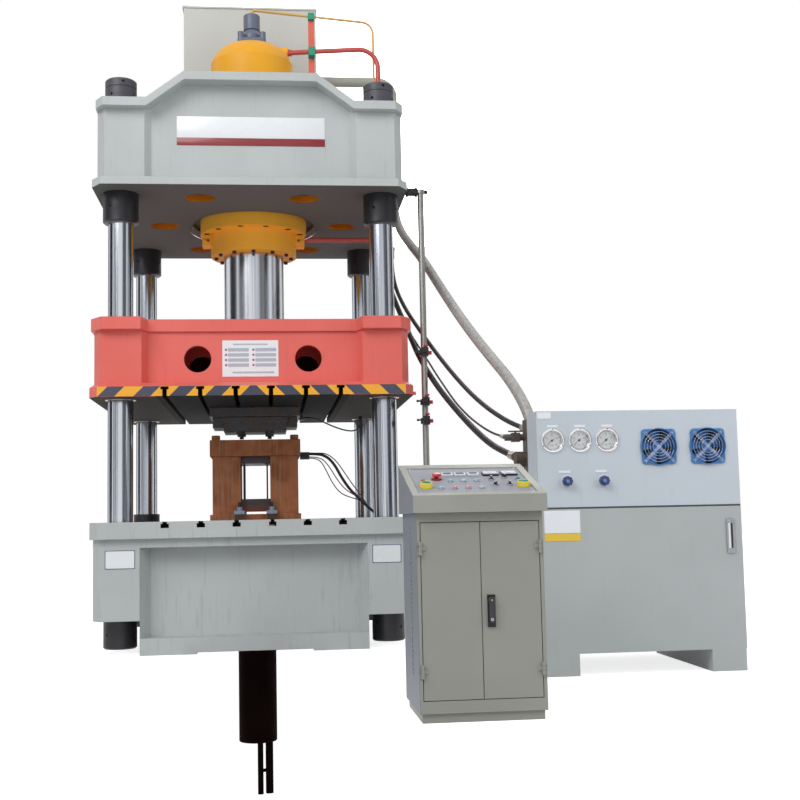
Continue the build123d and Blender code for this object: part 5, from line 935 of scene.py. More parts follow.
@dataclass
class Studio:
    """The floor with its pit, the lamps, the world and the camera."""

    floor_reach: float = 40.0
    pit_half: float = 0.48
    pit_front: float = -5.9
    pit_back: float = 0.42
    pit_depth: float = 1.35
    eye: Point = (0.0948, -9.5987, 0.8651)
    yaw: float = radians(6.2117)
    pitch: float = radians(5.6132)
    roll: float = radians(-1.1969)
    lens: float = 55.096
    sensor: float = 36.0
    sight: float = 200.0
    world_light: float = 0.62
    lamps: tuple[tuple, ...] = (
        ("key", (-5.5, -8.5, 8.5), 6.0, 620.0, (0.6, -0.8, 2.0)),
        ("fill", (7.5, -8.0, 5.0), 6.0, 240.0, (0.6, -0.8, 2.0)),
        ("back", (2.0, 9.0, 8.0), 6.0, 300.0, (0.6, -0.8, 2.0)),
        ("under", (0.0, -0.78, 2.34), 0.5, 1.8, (0.0, -0.12, 3.3)),
    )
    panel_distance: float = 26.0
    panel_middle: float = 5.0
    panel_height: float = 30.0
    panels: tuple[Point, ...] = (
        (-88.0, 34.0, 0.05), (-40.0, 9.0, 0.28), (-24.0, 5.0, 0.45), (24.0, 8.0, 0.32), (34.0, 13.0, 0.62),
        (46.0, 12.0, 0.1), (-55.0, 12.0, 0.62), (76.0, 8.0, 0.36), (104.0, 26.0, 0.06), (150.0, 20.0, 0.32),
        (-146.0, 22.0, 0.34),
    )

    def build(self) -> None:
        """Set up all of it."""
        self.stand_camera()
        self.light_world()
        for lamp in self.lamps:
            self.hang_lamp(*lamp)
        self.lay_floor()
        for number, panel in enumerate(self.panels):
            self.stand_panel(number, *panel)

    def stand_camera(self) -> None:
        """Stand the camera where the photograph was taken from."""
        data = bpy.data.cameras.new("camera")
        data.lens = self.lens
        data.sensor_width = self.sensor
        data.clip_end = self.sight
        camera = linked("camera", data)
        aim = Matrix.Rotation(-self.yaw, 4, "Z") @ Matrix.Rotation(pi / 2 + self.pitch, 4, "X")
        camera.matrix_world = Matrix.Translation(self.eye) @ aim @ Matrix.Rotation(self.roll, 4, "Z")
        bpy.context.scene.camera = camera

    def light_world(self) -> None:
        """White all round for the camera and for gloss, softer for the light it gives."""
        world = bpy.data.worlds.new("studio")
        bpy.context.scene.world = world
        world.use_nodes = True
        wires = Wires(world.node_tree)
        path = wires.put("LightPath").outputs
        rays = [path[f"Is {kind} Ray"] for kind in ("Camera", "Glossy", "Transmission")]
        strength = wires.between(wires.maths("MAXIMUM", *rays), self.world_light, 1.0)
        wires.feed(world.node_tree.nodes["Background"], Color=(1.0, 1.0, 1.0), Strength=strength)

    def hang_lamp(self, name: str, place: Point, size: float, power: float, target: Point) -> None:
        """Hang one square lamp, seen by gloss only where it stands high."""
        data = bpy.data.lights.new(name, "AREA")
        data.size = size
        data.energy = power
        lamp = linked(name, data)
        lamp.visible_camera = name != "under"
        lamp.visible_glossy = name in ("key", "back")
        aim = Vector(target) - Vector(place)
        lamp.matrix_world = Matrix.Translation(place) @ aim.to_track_quat("-Z", "Y").to_matrix().to_4x4()

    def lay_floor(self) -> None:
        """A pale floor with the open pit that the ejector hangs in."""
        deselect()
        bpy.ops.mesh.primitive_plane_add(size=2 * self.floor_reach)
        floor = begin("floor")
        bpy.ops.object.mode_set(mode="EDIT")
        for normal, place in (
            ((1, 0, 0), (-self.pit_half, 0, 0)), ((1, 0, 0), (self.pit_half, 0, 0)),
            ((0, 1, 0), (0, self.pit_front, 0)), ((0, 1, 0), (0, self.pit_back, 0)),
        ):
            bpy.ops.mesh.select_all(action="SELECT")
            bpy.ops.mesh.bisect(plane_co=place, plane_no=normal)
        pick_faces(floor, self.over_pit)
        bpy.ops.mesh.extrude_region_move(TRANSFORM_OT_translate={"value": (0, 0, -self.pit_depth)})
        deselect()
        painted(floor, FloorPaint("pale_floor"))

    def over_pit(self, face: bpy.types.MeshPolygon) -> bool:
        """Whether a face of the floor lies over the pit."""
        return abs(face.center.x) < self.pit_half and self.pit_front < face.center.y < self.pit_back

    def stand_panel(self, number: int, bearing: float, width: float, grey: float) -> None:
        """Stand a tall grey panel far out, which only the polished metal shows."""
        deselect()
        angle = radians(bearing)
        place = (self.panel_distance * sin(angle), -self.panel_distance * cos(angle), self.panel_middle)
        bpy.ops.mesh.primitive_plane_add(size=1, location=place, rotation=(pi / 2, 0, angle))
        reach = 2 * self.panel_distance * sin(radians(width / 2))
        bpy.context.object.scale = (reach, self.panel_height, 1.0)
        panel = begin(f"panel_{number}")
        dark = grey * DARKER
        painted(panel, Finish(f"panel_grey_{number}", (grey, grey, grey), (dark, dark, dark), 0.9))
        panel.visible_camera = False


@dataclass
class Hose:
    """A free hose or cable along its route, with the pieces at its ends."""

    name: str
    route: Sequence[Point]
    radius: float
    finish: Finish
    slot: Slot
    body: Body = Body.FRAME
    far_end: str = "object"
    stiffness: str = "medium"
    rib_pitch: float = 0.0
    rib_depth: float = 0.0
    stands_for: str = ""
    with_pieces: list[Piece] = field(default_factory=list)

    def spline(self) -> Piece:
        """Lay the curve over the route's points."""
        return smooth_line(self.name, self.route, 24)

    def line(self) -> list[Vector]:
        """Read the points that the smooth curve passes through."""
        curve = self.spline()
        mesh = bpy.data.meshes.new_from_object(curve)
        points = [vertex.co.copy() for vertex in mesh.vertices]
        bpy.data.objects.remove(curve)
        bpy.data.meshes.remove(mesh)
        return points

    def build(self) -> None:
        path = self.line()
        if self.rib_pitch:
            piece = ribbed_tube(self.name, path, self.radius, self.rib_pitch, self.rib_depth)
        else:
            piece = thicken(self.spline(), self.radius, 5)
        mounted(self.name, [painted(piece, self.finish)], self.body, None, self.stands_for or self.name)


def evenly(path: Sequence[Vector], pitch: float) -> list[Vector]:
    """Read a line again at even steps.

    Args:
        path: the line's points.
        pitch: about how far apart the new points are.

    Returns:
        The new points, with both ends kept.
    """
    reach = [0.0]
    for before, after in zip(path, path[1:]):
        reach.append(reach[-1] + (after - before).length)
    count = max(2, round(reach[-1] / pitch))
    points = []
    span = 0
    for step in range(count + 1):
        wanted = reach[-1] * step / count
        while span < len(path) - 2 and reach[span + 1] < wanted:
            span += 1
        share = (wanted - reach[span]) / (reach[span + 1] - reach[span])
        points.append(path[span].lerp(path[span + 1], share))
    return points


def ribbed_tube(name: str, path: Sequence[Vector], radius: float, pitch: float, depth: float) -> Piece:
    """Sweep a ring along a line, swelling and shrinking it into ribs.

    Args:
        name: the piece's name.
        path: the line's points.
        radius: the outer radius of the ribs.
        pitch: from one rib to the next.
        depth: how deep the grooves are.

    Returns:
        The closed tube, with its length and girth in its UV map.
    """
    steps, sides = 4, 20
    points = evenly(path, pitch / steps)
    mesh = bmesh.new()
    layer = mesh.loops.layers.uv.new("UVMap")
    rings = []
    side = Vector((1, 0, 0))
    for number, point in enumerate(points):
        ahead = (points[min(len(points) - 1, number + 1)] - points[max(0, number - 1)]).normalized()
        side = (side - ahead * side.dot(ahead)).normalized()
        other = ahead.cross(side)
        swell = radius - depth * (0.5 - 0.5 * cos(2 * pi * number / steps))
        angles = [2 * pi * k / sides for k in range(sides)]
        rings.append([mesh.verts.new(point + (side * cos(a) + other * sin(a)) * swell) for a in angles])
    for number, (low, high) in enumerate(zip(rings, rings[1:])):
        near, far = number * pitch / steps, number * pitch / steps + pitch / steps
        for k in range(sides):
            after = (k + 1) % sides
            face = mesh.faces.new((low[k], low[after], high[after], high[k]))
            face.smooth = True
            for loop, (u, v) in zip(face.loops, ((k, near), (k + 1, near), (k + 1, far), (k, far))):
                loop[layer].uv = (u / sides, v)
    mesh.faces.new(list(reversed(rings[0])))
    mesh.faces.new(rings[-1])
    data = bpy.data.meshes.new(name)
    mesh.to_mesh(data)
    mesh.free()
    return linked(name, data)


def sleeve(end: Vector, ahead: Vector, radius: float, finish: Finish) -> Piece:
    """Make the crimped sleeve on a hose's end by spinning its profile.

    Args:
        end: the hose's end.
        ahead: the way that the hose leaves it.
        radius: the hose's radius.
        finish: the sleeve's finish.

    Returns:
        The sleeve, in its place.
    """
    wall = 0.007
    length = 0.07 * min(1.0, 0.25 + radius * 50)
    outer = radius + wall
    crimp = wall * 0.25
    profile = [(radius * 0.9, 0.0), (outer - crimp, 0.0), (outer, crimp)]
    bands = 4
    for number in range(bands):
        start = length * (0.12 + 0.7 * number / bands)
        step = length * 0.7 / bands
        profile += [(outer, start + 0.2 * step), (outer - crimp, start + 0.35 * step)]
        profile += [(outer - crimp, start + 0.75 * step), (outer, start + 0.9 * step)]
    profile += [(outer, length - crimp), (outer - crimp, length), (radius * 0.9, length)]
    aim = ahead.to_track_quat("Z", "Y").to_matrix().to_4x4()
    return painted(spun(profile), finish, Matrix.Translation(end) @ aim)


@dataclass
class Hoses:
    """The four hoses to the power unit and the two heater cables."""

    suction: tuple[Point, ...] = (
        (1.2, 0.7, 3.714), (1.2, 0.7, 3.56), (1.214, 0.65, 3.42), (1.246, 0.54, 3.285), (1.296, 0.34, 3.14),
        (1.352, -0.02, 2.93), (1.42, -0.52, 2.6), (1.496, -1.06, 2.255), (1.574, -1.56, 1.96),
        (1.636, -1.98, 1.735), (1.688, -2.26, 1.5), (1.705, -2.33, 1.29), (1.705, -2.33, 1.1),
    )
    pressure: tuple[Point, ...] = (
        (1.09, -0.052, 3.008), (1.09, -0.052, 2.87), (1.11, -0.11, 2.69), (1.158, -0.3, 2.5),
        (1.214, -0.545, 2.325), (1.288, -0.925, 2.088), (1.362, -1.335, 1.858), (1.432, -1.715, 1.668),
        (1.5, -2.04, 1.53), (1.59, -2.29, 1.425), (1.64, -2.43, 1.39),
    )
    pilot: tuple[Point, ...] = (
        (0.985, 0.06, 3.061), (0.985, 0.06, 2.965), (1.032, 0.068, 2.84), (1.092, 0.054, 2.694),
        (1.127, -0.024, 2.546), (1.166, -0.154, 2.415), (1.194, -0.31, 2.302), (1.224, -0.466, 2.2),
        (1.254, -0.63, 2.095), (1.28, -0.8, 1.994), (1.298, -0.97, 1.902), (1.32, -1.15, 1.808),
        (1.336, -1.35, 1.716), (1.352, -1.52, 1.64), (1.37, -1.695, 1.572), (1.388, -1.865, 1.51),
        (1.41, -2.035, 1.455), (1.432, -2.195, 1.408), (1.456, -2.34, 1.37), (1.488, -2.468, 1.344),
    )
    back: tuple[Point, ...] = (
        (1.015, 0.0, 3.061), (1.015, 0.0, 2.93), (1.05, -0.012, 2.79), (1.098, -0.076, 2.618),
        (1.144, -0.208, 2.442), (1.178, -0.404, 2.278), (1.216, -0.7, 2.05), (1.288, -1.06, 1.806),
        (1.37, -1.39, 1.606), (1.436, -1.74, 1.44), (1.488, -2.03, 1.326), (1.53, -2.28, 1.262),
        (1.556, -2.43, 1.228),
    )
    die: tuple[Point, ...] = (
        (0.409, -0.2, 1.386), (0.476, -0.2, 1.386), (0.542, -0.198, 1.366), (0.6, -0.201, 1.306),
        (0.652, -0.206, 1.205), (0.716, -0.192, 1.11), (0.792, -0.206, 1.035), (0.862, -0.196, 0.965),
        (0.93, -0.184, 0.912), (1.005, -0.15, 0.9023), (1.05, -0.08, 0.9023),
    )
    upper: tuple[Point, ...] = (
        (0.379, 0.25, 1.705), (0.45, 0.25, 1.705), (0.536, 0.306, 1.676), (0.62, 0.382, 1.643),
        (0.704, 0.444, 1.618), (0.78, 0.502, 1.608), (0.836, 0.55, 1.622), (0.866, 0.586, 1.655),
        (0.866, 0.586, 1.713),
    )
    steel: Finish = plain("ferrule_zinc", (176, 172, 164), 0.3, metallic=1.0, scale=20.0)
    black: Finish = plain("hose_black", (44, 44, 48), 0.5, scale=10.0, skin=300.0, dust=0.4)
    pale: Finish = Finish(
        "hose_clear", srgb(174, 172, 169), srgb(146, 143, 139), roughness=0.3, coat=0.5, scale=34.0, mottle=0.7,
    )
    wire_radius: float = 0.004
    wire_red: Finish = plain("wire_red", (150, 40, 36), 0.45, scale=20.0)
    high_wire: tuple[Point, ...] = (
        (0.409, -0.184, 1.39), (0.47, -0.184, 1.394), (0.548, -0.182, 1.388), (0.62, -0.182, 1.328),
        (0.678, -0.184, 1.24), (0.738, -0.182, 1.15), (0.8, -0.192, 1.066), (0.85, -0.198, 0.985),
    )
    middle_wire: tuple[Point, ...] = (
        (0.409, -0.214, 1.362), (0.46, -0.218, 1.362), (0.52, -0.224, 1.338), (0.57, -0.226, 1.27),
        (0.622, -0.226, 1.18), (0.68, -0.218, 1.11), (0.735, -0.208, 1.075), (0.792, -0.206, 1.04),
    )
    low_wire: tuple[Point, ...] = (
        (0.409, -0.188, 1.354), (0.45, -0.188, 1.354), (0.5, -0.19, 1.33), (0.542, -0.192, 1.25),
        (0.584, -0.196, 1.16), (0.64, -0.2, 1.085), (0.71, -0.202, 1.05), (0.792, -0.205, 1.028),
    )

    def sleeves(self, name: str, route: Sequence[Point], radius: float) -> list[Piece]:
        """Make the sleeves at both ends of a hose."""
        made = []
        for end, (here, there) in (("start", route[:2]), ("end", route[:-3:-1])):
            part = sleeve(Vector(here), Vector(there) - Vector(here), radius, self.steel)
            made.append(mounted(f"{name}_{end}_sleeve", [part], Body.FRAME, None, "hose_ferrules"))
        return made

    def build(self) -> None:
        """Make every hose and cable."""
        for name, route, radius, finish, slot, pitch, depth in (
            ("suction_hose", self.suction, 0.035, self.pale, Slot.SUCTION_HOSE, 0.014, 0.0025),
            ("pressure_hose", self.pressure, 0.015, self.black, Slot.HOSE, 0.008, 0.0006),
            ("pilot_hose", self.pilot, 0.007, self.black, Slot.PILOT_HOSE, 0.0, 0.0),
            ("return_hose", self.back, 0.02, self.black, Slot.HOSE, 0.009, 0.0008),
        ):
            Hose(
                name, route, radius, finish, slot, rib_pitch=pitch, rib_depth=depth, stiffness="stiff",
                with_pieces=self.sleeves(name, route, radius),
            ).build()
        ends = [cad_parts["cable_ends"]]
        Hose("die_cable", self.die, 0.011, self.black, Slot.CABLE, far_end="plug", with_pieces=ends).build()
        Hose("upper_cable", self.upper, 0.006, self.black, Slot.CABLE, Body.BEAM).build()
        for name, route, finish in (
            ("high", self.high_wire, self.black), ("middle", self.middle_wire, self.wire_red),
            ("low", self.low_wire, self.black),
        ):
            Hose(f"die_wire_{name}", route, self.wire_radius, finish, Slot.CABLE, stands_for="die_cable").build()


@dataclass
class Plates:
    """The blank plates on the crown, the beam and the bed."""

    sheet: float = 0.003
    crown_half: float = 0.522
    crown_low: float = 3.53
    crown_high: float = 3.74
    crown_face: float = -1.07
    band: float = 0.055
    beam_middle: Point = (-0.02, -1.038, 2.014)
    bed_face: float = -1.163
    white: Finish = plain("plate_white", (236, 240, 244), 0.3, coat=0.3, mottle=0.15)
    red: Finish = plain("plate_red", (140, 42, 50), 0.35, coat=0.2, mottle=0.3)
    grey: Finish = plain("plate_grey", (180, 184, 196), mottle=0.2)
    rose: Finish = plain("plate_rose", (170, 96, 110), mottle=0.2)
    edge: Finish = plain("plate_edge", (96, 104, 130), mottle=0.2)

    def build(self) -> None:
        """Make them all."""
        self.crown()
        self.beam()
        self.bed()

    def crown(self) -> None:
        """White plate with a dark red band along its bottom."""
        seam = self.crown_low + self.band
        for name, low, high, finish in (
            ("crown_plate", seam, self.crown_high, self.white), ("crown_plate_band", self.crown_low, seam, self.red),
        ):
            corner = (-self.crown_half, self.crown_face - self.sheet, low)
            sheet = soften(block(corner, (self.crown_half, self.crown_face, high)), 0.0012)
            mounted(name, [painted(sheet, finish)], Body.FRAME)

    def beam(self) -> None:
        """Blank white plate in the middle of the beam."""
        parts = [painted(slab((0, 0), (0.39, 0.256), 0.0, self.sheet, corner=0.004), self.white)]
        top = self.sheet + 0.0004
        rows = [(side * 0.095, 0.062 - 0.036 * row) for side in (-1, 1) for row in range(4)]
        bars = [(u + 0.012, v, 0.145, 0.024) for u, v in rows] + [(0.0, 0.1, 0.24, 0.01), (0.02, -0.098, 0.29, 0.012)]
        for u, v, wide, high in bars:
            parts.append(painted(slab((u, v), (wide, high), 0.002, top, 0.002, 0.0001), self.grey))
        spot = [(0, top + 0.0002), (0.0085, top), (0.0085, 0.002), (0, 0.002)]
        parts += [turned(spot, self.rose, shift(u - 0.074, v), 24) for u, v in rows]
        mounted("beam_plate", parts, Body.BEAM, upright(self.beam_middle))

    def bed(self) -> None:
        """Two small blank plates with a grey-blue border on the bed's corner blocks."""
        rivet = [(0, 0.0034), (0.0022, 0.003), (0.003, 0.0015), (0, 0.0015)]
        for side, x in (("left", -0.9), ("right", 0.9)):
            border = slab((0, 0), (0.2, 0.125), 0.0, 0.0016, corner=0.006)
            middle = slab((0, 0), (0.19, 0.115), 0.001, 0.0022, corner=0.004)
            parts = [painted(border, self.edge), painted(middle, self.white)]
            parts += [turned(rivet, self.grey, shift(u, v), 12) for u in (-0.092, 0.092) for v in (-0.055, 0.055)]
            mounted(f"bed_plate_{side}", parts, Body.FRAME, upright((x, self.bed_face, 0.64)))


@dataclass
class Gauge:
    """A flanged pressure gauge: bezel and dial, glass, and the needle on its own body."""

    number: int
    x: float
    needle_body: Body
    z: float = 1.288
    face: float = PANEL_FACE
    flange: float = 0.066
    body: float = 0.058
    dial: float = 0.047
    floor: float = 0.02
    back: float = 0.045
    start: float = 225.0
    sweep: float = 270.0

    def build(self) -> None:
        """Make the gauge's three pieces."""
        place = upright((self.x, self.face, self.z))
        case = [self.case(), *self.marks(), *self.screws()]
        mounted(f"gauge_{self.number}", case, Body.FRAME, place, "gauge_cases")
        pane = [(0, -0.0095), (0.03, -0.0098), (self.dial, -0.0108), (self.dial, -0.0122), (0, -0.0118)]
        pane = turned(pane, Clear("gauge_glass"), sides=40)
        mounted(f"gauge_glass_{self.number}", [pane], Body.FRAME, place, "gauge_cases")
        stands_for = f"gauge_needle_{self.number}"
        place = place @ turn(self.start)
        mounted(f"needle_{self.number}", self.needle(), self.needle_body, place, stands_for)

    def case(self) -> Piece:
        """Turn the case with its flange, bright cone and dial."""
        case = turned([
            (0, -self.floor), (self.dial - 0.0005, -self.floor), (self.dial, -self.floor + 0.0005),
            (self.dial + 0.0004, -0.009), (0.0548, 0.0055), (0.0562, 0.0092), (0.058, 0.01),
            (self.flange - 0.0022, 0.01), (self.flange - 0.0006, 0.0092), (self.flange, 0.0076), (self.flange, 0.0),
            (self.body, 0.0), (self.body, -self.back + 0.001), (self.body - 0.001, -self.back), (0, -self.back),
        ], CHROME, sides=64)
        case.data.materials.append(plain("dial_white", (236, 238, 240), 0.5, scale=10.0, mottle=0.1).material())
        for face in case.data.polygons:
            near = face.center.xy.length < self.dial - 0.0004
            if near and abs(face.center.z + self.floor) < 0.0003:
                face.material_index = 1
        return case

    def marks(self) -> list[Piece]:
        """Set the scale's marks and its numbers round the dial."""
        made = []
        top = -self.floor + 0.0003
        for step in range(41):
            inner, half = (0.0375, 0.0006) if step % 10 == 0 else (0.0405, 0.0003)
            mark = block((inner, -half, -self.floor - 0.0001), (0.0435, half, top))
            made.append(painted(mark, BLACK, turn(self.start - self.sweep * step / 40)))
        for step in range(5):
            angle = radians(self.start - self.sweep * step / 4)
            made.append(lettered(str(10 * step), 0.0095, 0.0305 * cos(angle), 0.0305 * sin(angle), top, BLACK))
        made.append(lettered("MPa", 0.0075, 0, -0.026, top, BLACK))
        return made

    def screws(self) -> list[Piece]:
        """Put three small screws in the flange."""
        head = [(0, 0.0135), (0.0022, 0.0133), (0.0032, 0.0122), (0.0034, 0.0095), (0, 0.0095)]
        return [turned(head, BLACK, turn(angle) @ shift(x=0.0612), 16) for angle in (90, 210, 330)]

    def needle(self) -> list[Piece]:
        """Make the hub and the tapered pointer, lying along X."""
        hub = [(0, -0.0132), (0.0046, -0.0134), (0.006, -0.0145), (0.006, -0.0158), (0.005, -0.0166), (0, -0.0168)]
        pointer = block((-0.013, -0.0015, -0.0158), (0.04, 0.0015, -0.0146))
        pick_faces(pointer, lambda face: face.normal.x > 0.9)
        bpy.ops.transform.resize(value=(1, 0.25, 1))
        deselect()
        return [turned(hub, BLACK), painted(pointer, BLACK)]


@dataclass
class HandKnob:
    """A lobed hand knob on its stem, with the pale base under it."""

    side: str
    x: float
    body: Body
    z: float = 1.06
    face: float = PANEL_FACE
    radius: float = 0.029
    low: float = 0.0063
    high: float = 0.0323
    lobes: int = 8
    navy: Finish = plain("knob_navy", (30, 54, 116), 0.3, coat=0.4, scale=20.0, rub=0.3)
    centre: Finish = plain("knob_cap", (96, 128, 186), 0.3, coat=0.3, scale=20.0)
    base: Finish = plain("knob_base", (222, 226, 230), scale=10.0, mottle=0.2)

    def build(self) -> None:
        """Make the knob and its base."""
        place = upright((self.x, self.face, self.z))
        ring = spun([(0.0165, 0.0002), (0.034, 0.0002), (0.034, 0.0032), (0.0325, 0.0045), (0.0165, 0.0045)])
        mounted(f"knob_base_{self.side}", [painted(ring, self.base)], Body.FRAME, place)
        low, top = self.low, self.high
        stem = turned([(0, low), (0.008, low), (0.008, -0.033), (0.007, -0.034), (0, -0.034)], CHROME, sides=24)
        cap = [(0, top + 0.0008), (0.009, top + 0.0006), (0.0105, top - 0.0004)]
        cap += [(0.0105, top - 0.003), (0, top - 0.003)]
        cap = turned(cap, self.centre)
        parts = [self.grip(), stem, cap]
        mounted(f"knob_{self.side}", parts, self.body, place, f"valve_knob_{self.side}")

    def grip(self) -> Piece:
        """Scallop a round bar into lobes and dish its face."""
        deselect()
        bpy.ops.mesh.primitive_cylinder_add(
            vertices=self.lobes * 12, radius=self.radius, depth=self.high - self.low,
            location=(0, 0, (self.low + self.high) / 2),
        )
        grip = begin("grip")
        for vertex in grip.data.vertices:
            angle = vertex.co.xy.angle_signed(Vector((1, 0)))
            share = 1 - 0.085 * (0.5 - 0.5 * cos(self.lobes * angle))
            vertex.co.x *= share
            vertex.co.y *= share
        pick_faces(grip, lambda face: face.normal.z > 0.9)
        bpy.ops.mesh.inset(thickness=0.006, depth=0)
        bpy.ops.mesh.inset(thickness=0.004, depth=-0.0022)
        deselect()
        return painted(soften(grip, 0.0014, 2), self.navy)


@dataclass
class Fan:
    """A cooling fan in the panel: eared frame, spider and motor, wire guard and five swept blades."""

    side: str
    x: float
    rotor_body: Body
    z: float = 1.245
    face: float = PANEL_FACE
    radius: float = 0.104
    square: float = 0.197
    corner: float = 0.0835 * 2 ** 0.5
    tail: float = 0.07
    blades: int = 5
    blue: Finish = plain("fan_frame_blue", (66, 128, 188), 0.35, coat=0.3, scale=12.0, rub=0.3)
    blade_blue: Finish = plain("fan_blade_blue", (58, 112, 178), 0.35, coat=0.2, scale=14.0)
    dark: Finish = plain(
        "cooler_black", (30, 26, 26), 0.6, scale=16.0, lines=0.8, line_colour=srgb(74, 62, 54),
        line_stretch=(60.0, 1.0, 1.0),
    )
    bright: Finish = plain("guard_wire", (226, 230, 240), 0.2, metallic=0.8, scale=20.0, mottle=0.1)

    def build(self) -> None:
        """Make the housing, the guard and the rotor."""
        place = upright((self.x, self.face, self.z))
        for name, parts, body, stands_for in (
            ("housing", [*self.frame(), *self.motor()], Body.FRAME, "fan_housings"),
            ("guard", self.guard(), Body.FRAME, "fan_housings"),
            ("blades", self.rotor(), self.rotor_body, f"fan_rotor_{self.side}"),
        ):
            mounted(f"fan_{name}_{self.side}", parts, body, place, stands_for)

    def frame(self) -> list[Piece]:
        """Make the square front plate with its screws, and the round duct behind it."""
        inner = self.radius - 0.0055
        plate = slab((0, 0), (self.square, self.square), 0.0004, 0.008, corner=0.02, edge=0.001)
        parts = [painted(bored(plate, 0, 0, inner), self.blue)]
        duct = [
            (inner, -self.tail), (self.radius - 0.0005, -self.tail), (self.radius - 0.0005, 0.012),
            (self.radius - 0.0018, 0.0138), (inner + 0.0015, 0.0138), (inner, 0.012),
        ]
        parts.append(painted(spun(duct, sides=64), self.blue))
        head = [(0, 0.0104), (0.0034, 0.0102), (0.0046, 0.0092), (0.0048, 0.0075), (0, 0.0075)]
        parts += [turned(head, BLACK, turn(angle) @ shift(x=self.corner), 16) for angle in (45, 135, 225, 315)]
        return parts

    def motor(self) -> list[Piece]:
        """Make the motor on its four arms, with the cooler's dark fins behind."""
        can = [(0, -0.056), (0.03, -0.056), (0.034, -0.059), (0.036, -0.064), (0.036, -0.0765), (0, -0.0765)]
        parts = [turned(can, self.blue, sides=40)]
        for angle in (45, 135, 225, 315):
            arm = soften(block((0.034, -0.006, -0.0765), (self.radius - 0.004, 0.006, -0.0695)), 0.001)
            parts.append(painted(arm, self.blue, turn(angle)))
        core = [(0, -0.0765), (self.radius - 0.003, -0.0765), (self.radius - 0.002, -0.078), (0, -0.079)]
        parts.append(turned(core, self.dark, sides=48))
        return parts

    def guard(self) -> list[Piece]:
        """Make the thin rings and the crossed pairs of wires."""
        parts = []
        for radius in (0.036, 0.052, 0.068, 0.084):
            deselect()
            bpy.ops.mesh.primitive_torus_add(
                major_radius=radius, minor_radius=0.001, major_segments=56, minor_segments=6, location=(0, 0, 0.0128)
            )
            ring = begin("ring")
            bpy.ops.object.shade_smooth()
            parts.append(painted(ring, self.bright))
        reach = self.corner + 0.004
        for angle in (45, 135):
            for side in (-0.0042, 0.0042):
                points = [(-reach, side, 0.0108), (0, side, 0.0112), (reach, side, 0.0108)]
                parts.append(wire(points, 0.0013, self.bright, turn(angle)))
        return parts

    def rotor(self) -> list[Piece]:
        """Make the hub and the swept blades round it."""
        hub = [(0, -0.02), (0.02, -0.0203), (0.0285, -0.0222), (0.031, -0.0262), (0.0312, -0.05), (0.03, -0.053)]
        parts = [turned([*hub, (0, -0.0535)], self.blade_blue, sides=48)]
        blade = painted(self.blade(), self.blade_blue)
        parts += [copied(blade, turn(90 + 360 * number / self.blades)) for number in range(self.blades)]
        bpy.data.objects.remove(blade)
        return parts

    def blade(self) -> Piece:
        """Sweep and twist a flat grid into one blade, and thicken it."""
        deselect()
        bpy.ops.mesh.primitive_grid_add(x_subdivisions=9, y_subdivisions=11, size=1)
        blade = begin("blade")
        for vertex in blade.data.vertices:
            out = vertex.co.x + 0.5
            across = vertex.co.y
            radius = 0.0285 + 0.064 * out
            chord = 0.042 + 0.044 * out
            pitch = radians(40 - 20 * out)
            angle = (across * chord * cos(pitch) + 0.012 * out * out) / radius
            rise = across * chord * sin(pitch) + 0.003 * (1 - 4 * across * across)
            vertex.co = (radius * cos(angle), radius * sin(angle), -0.0375 + rise)
        wall = blade.modifiers.new("wall", "SOLIDIFY")
        wall.thickness = 0.0022
        bpy.ops.object.modifier_apply(modifier=wall.name)
        return soften(blade, 0.0006, 1)


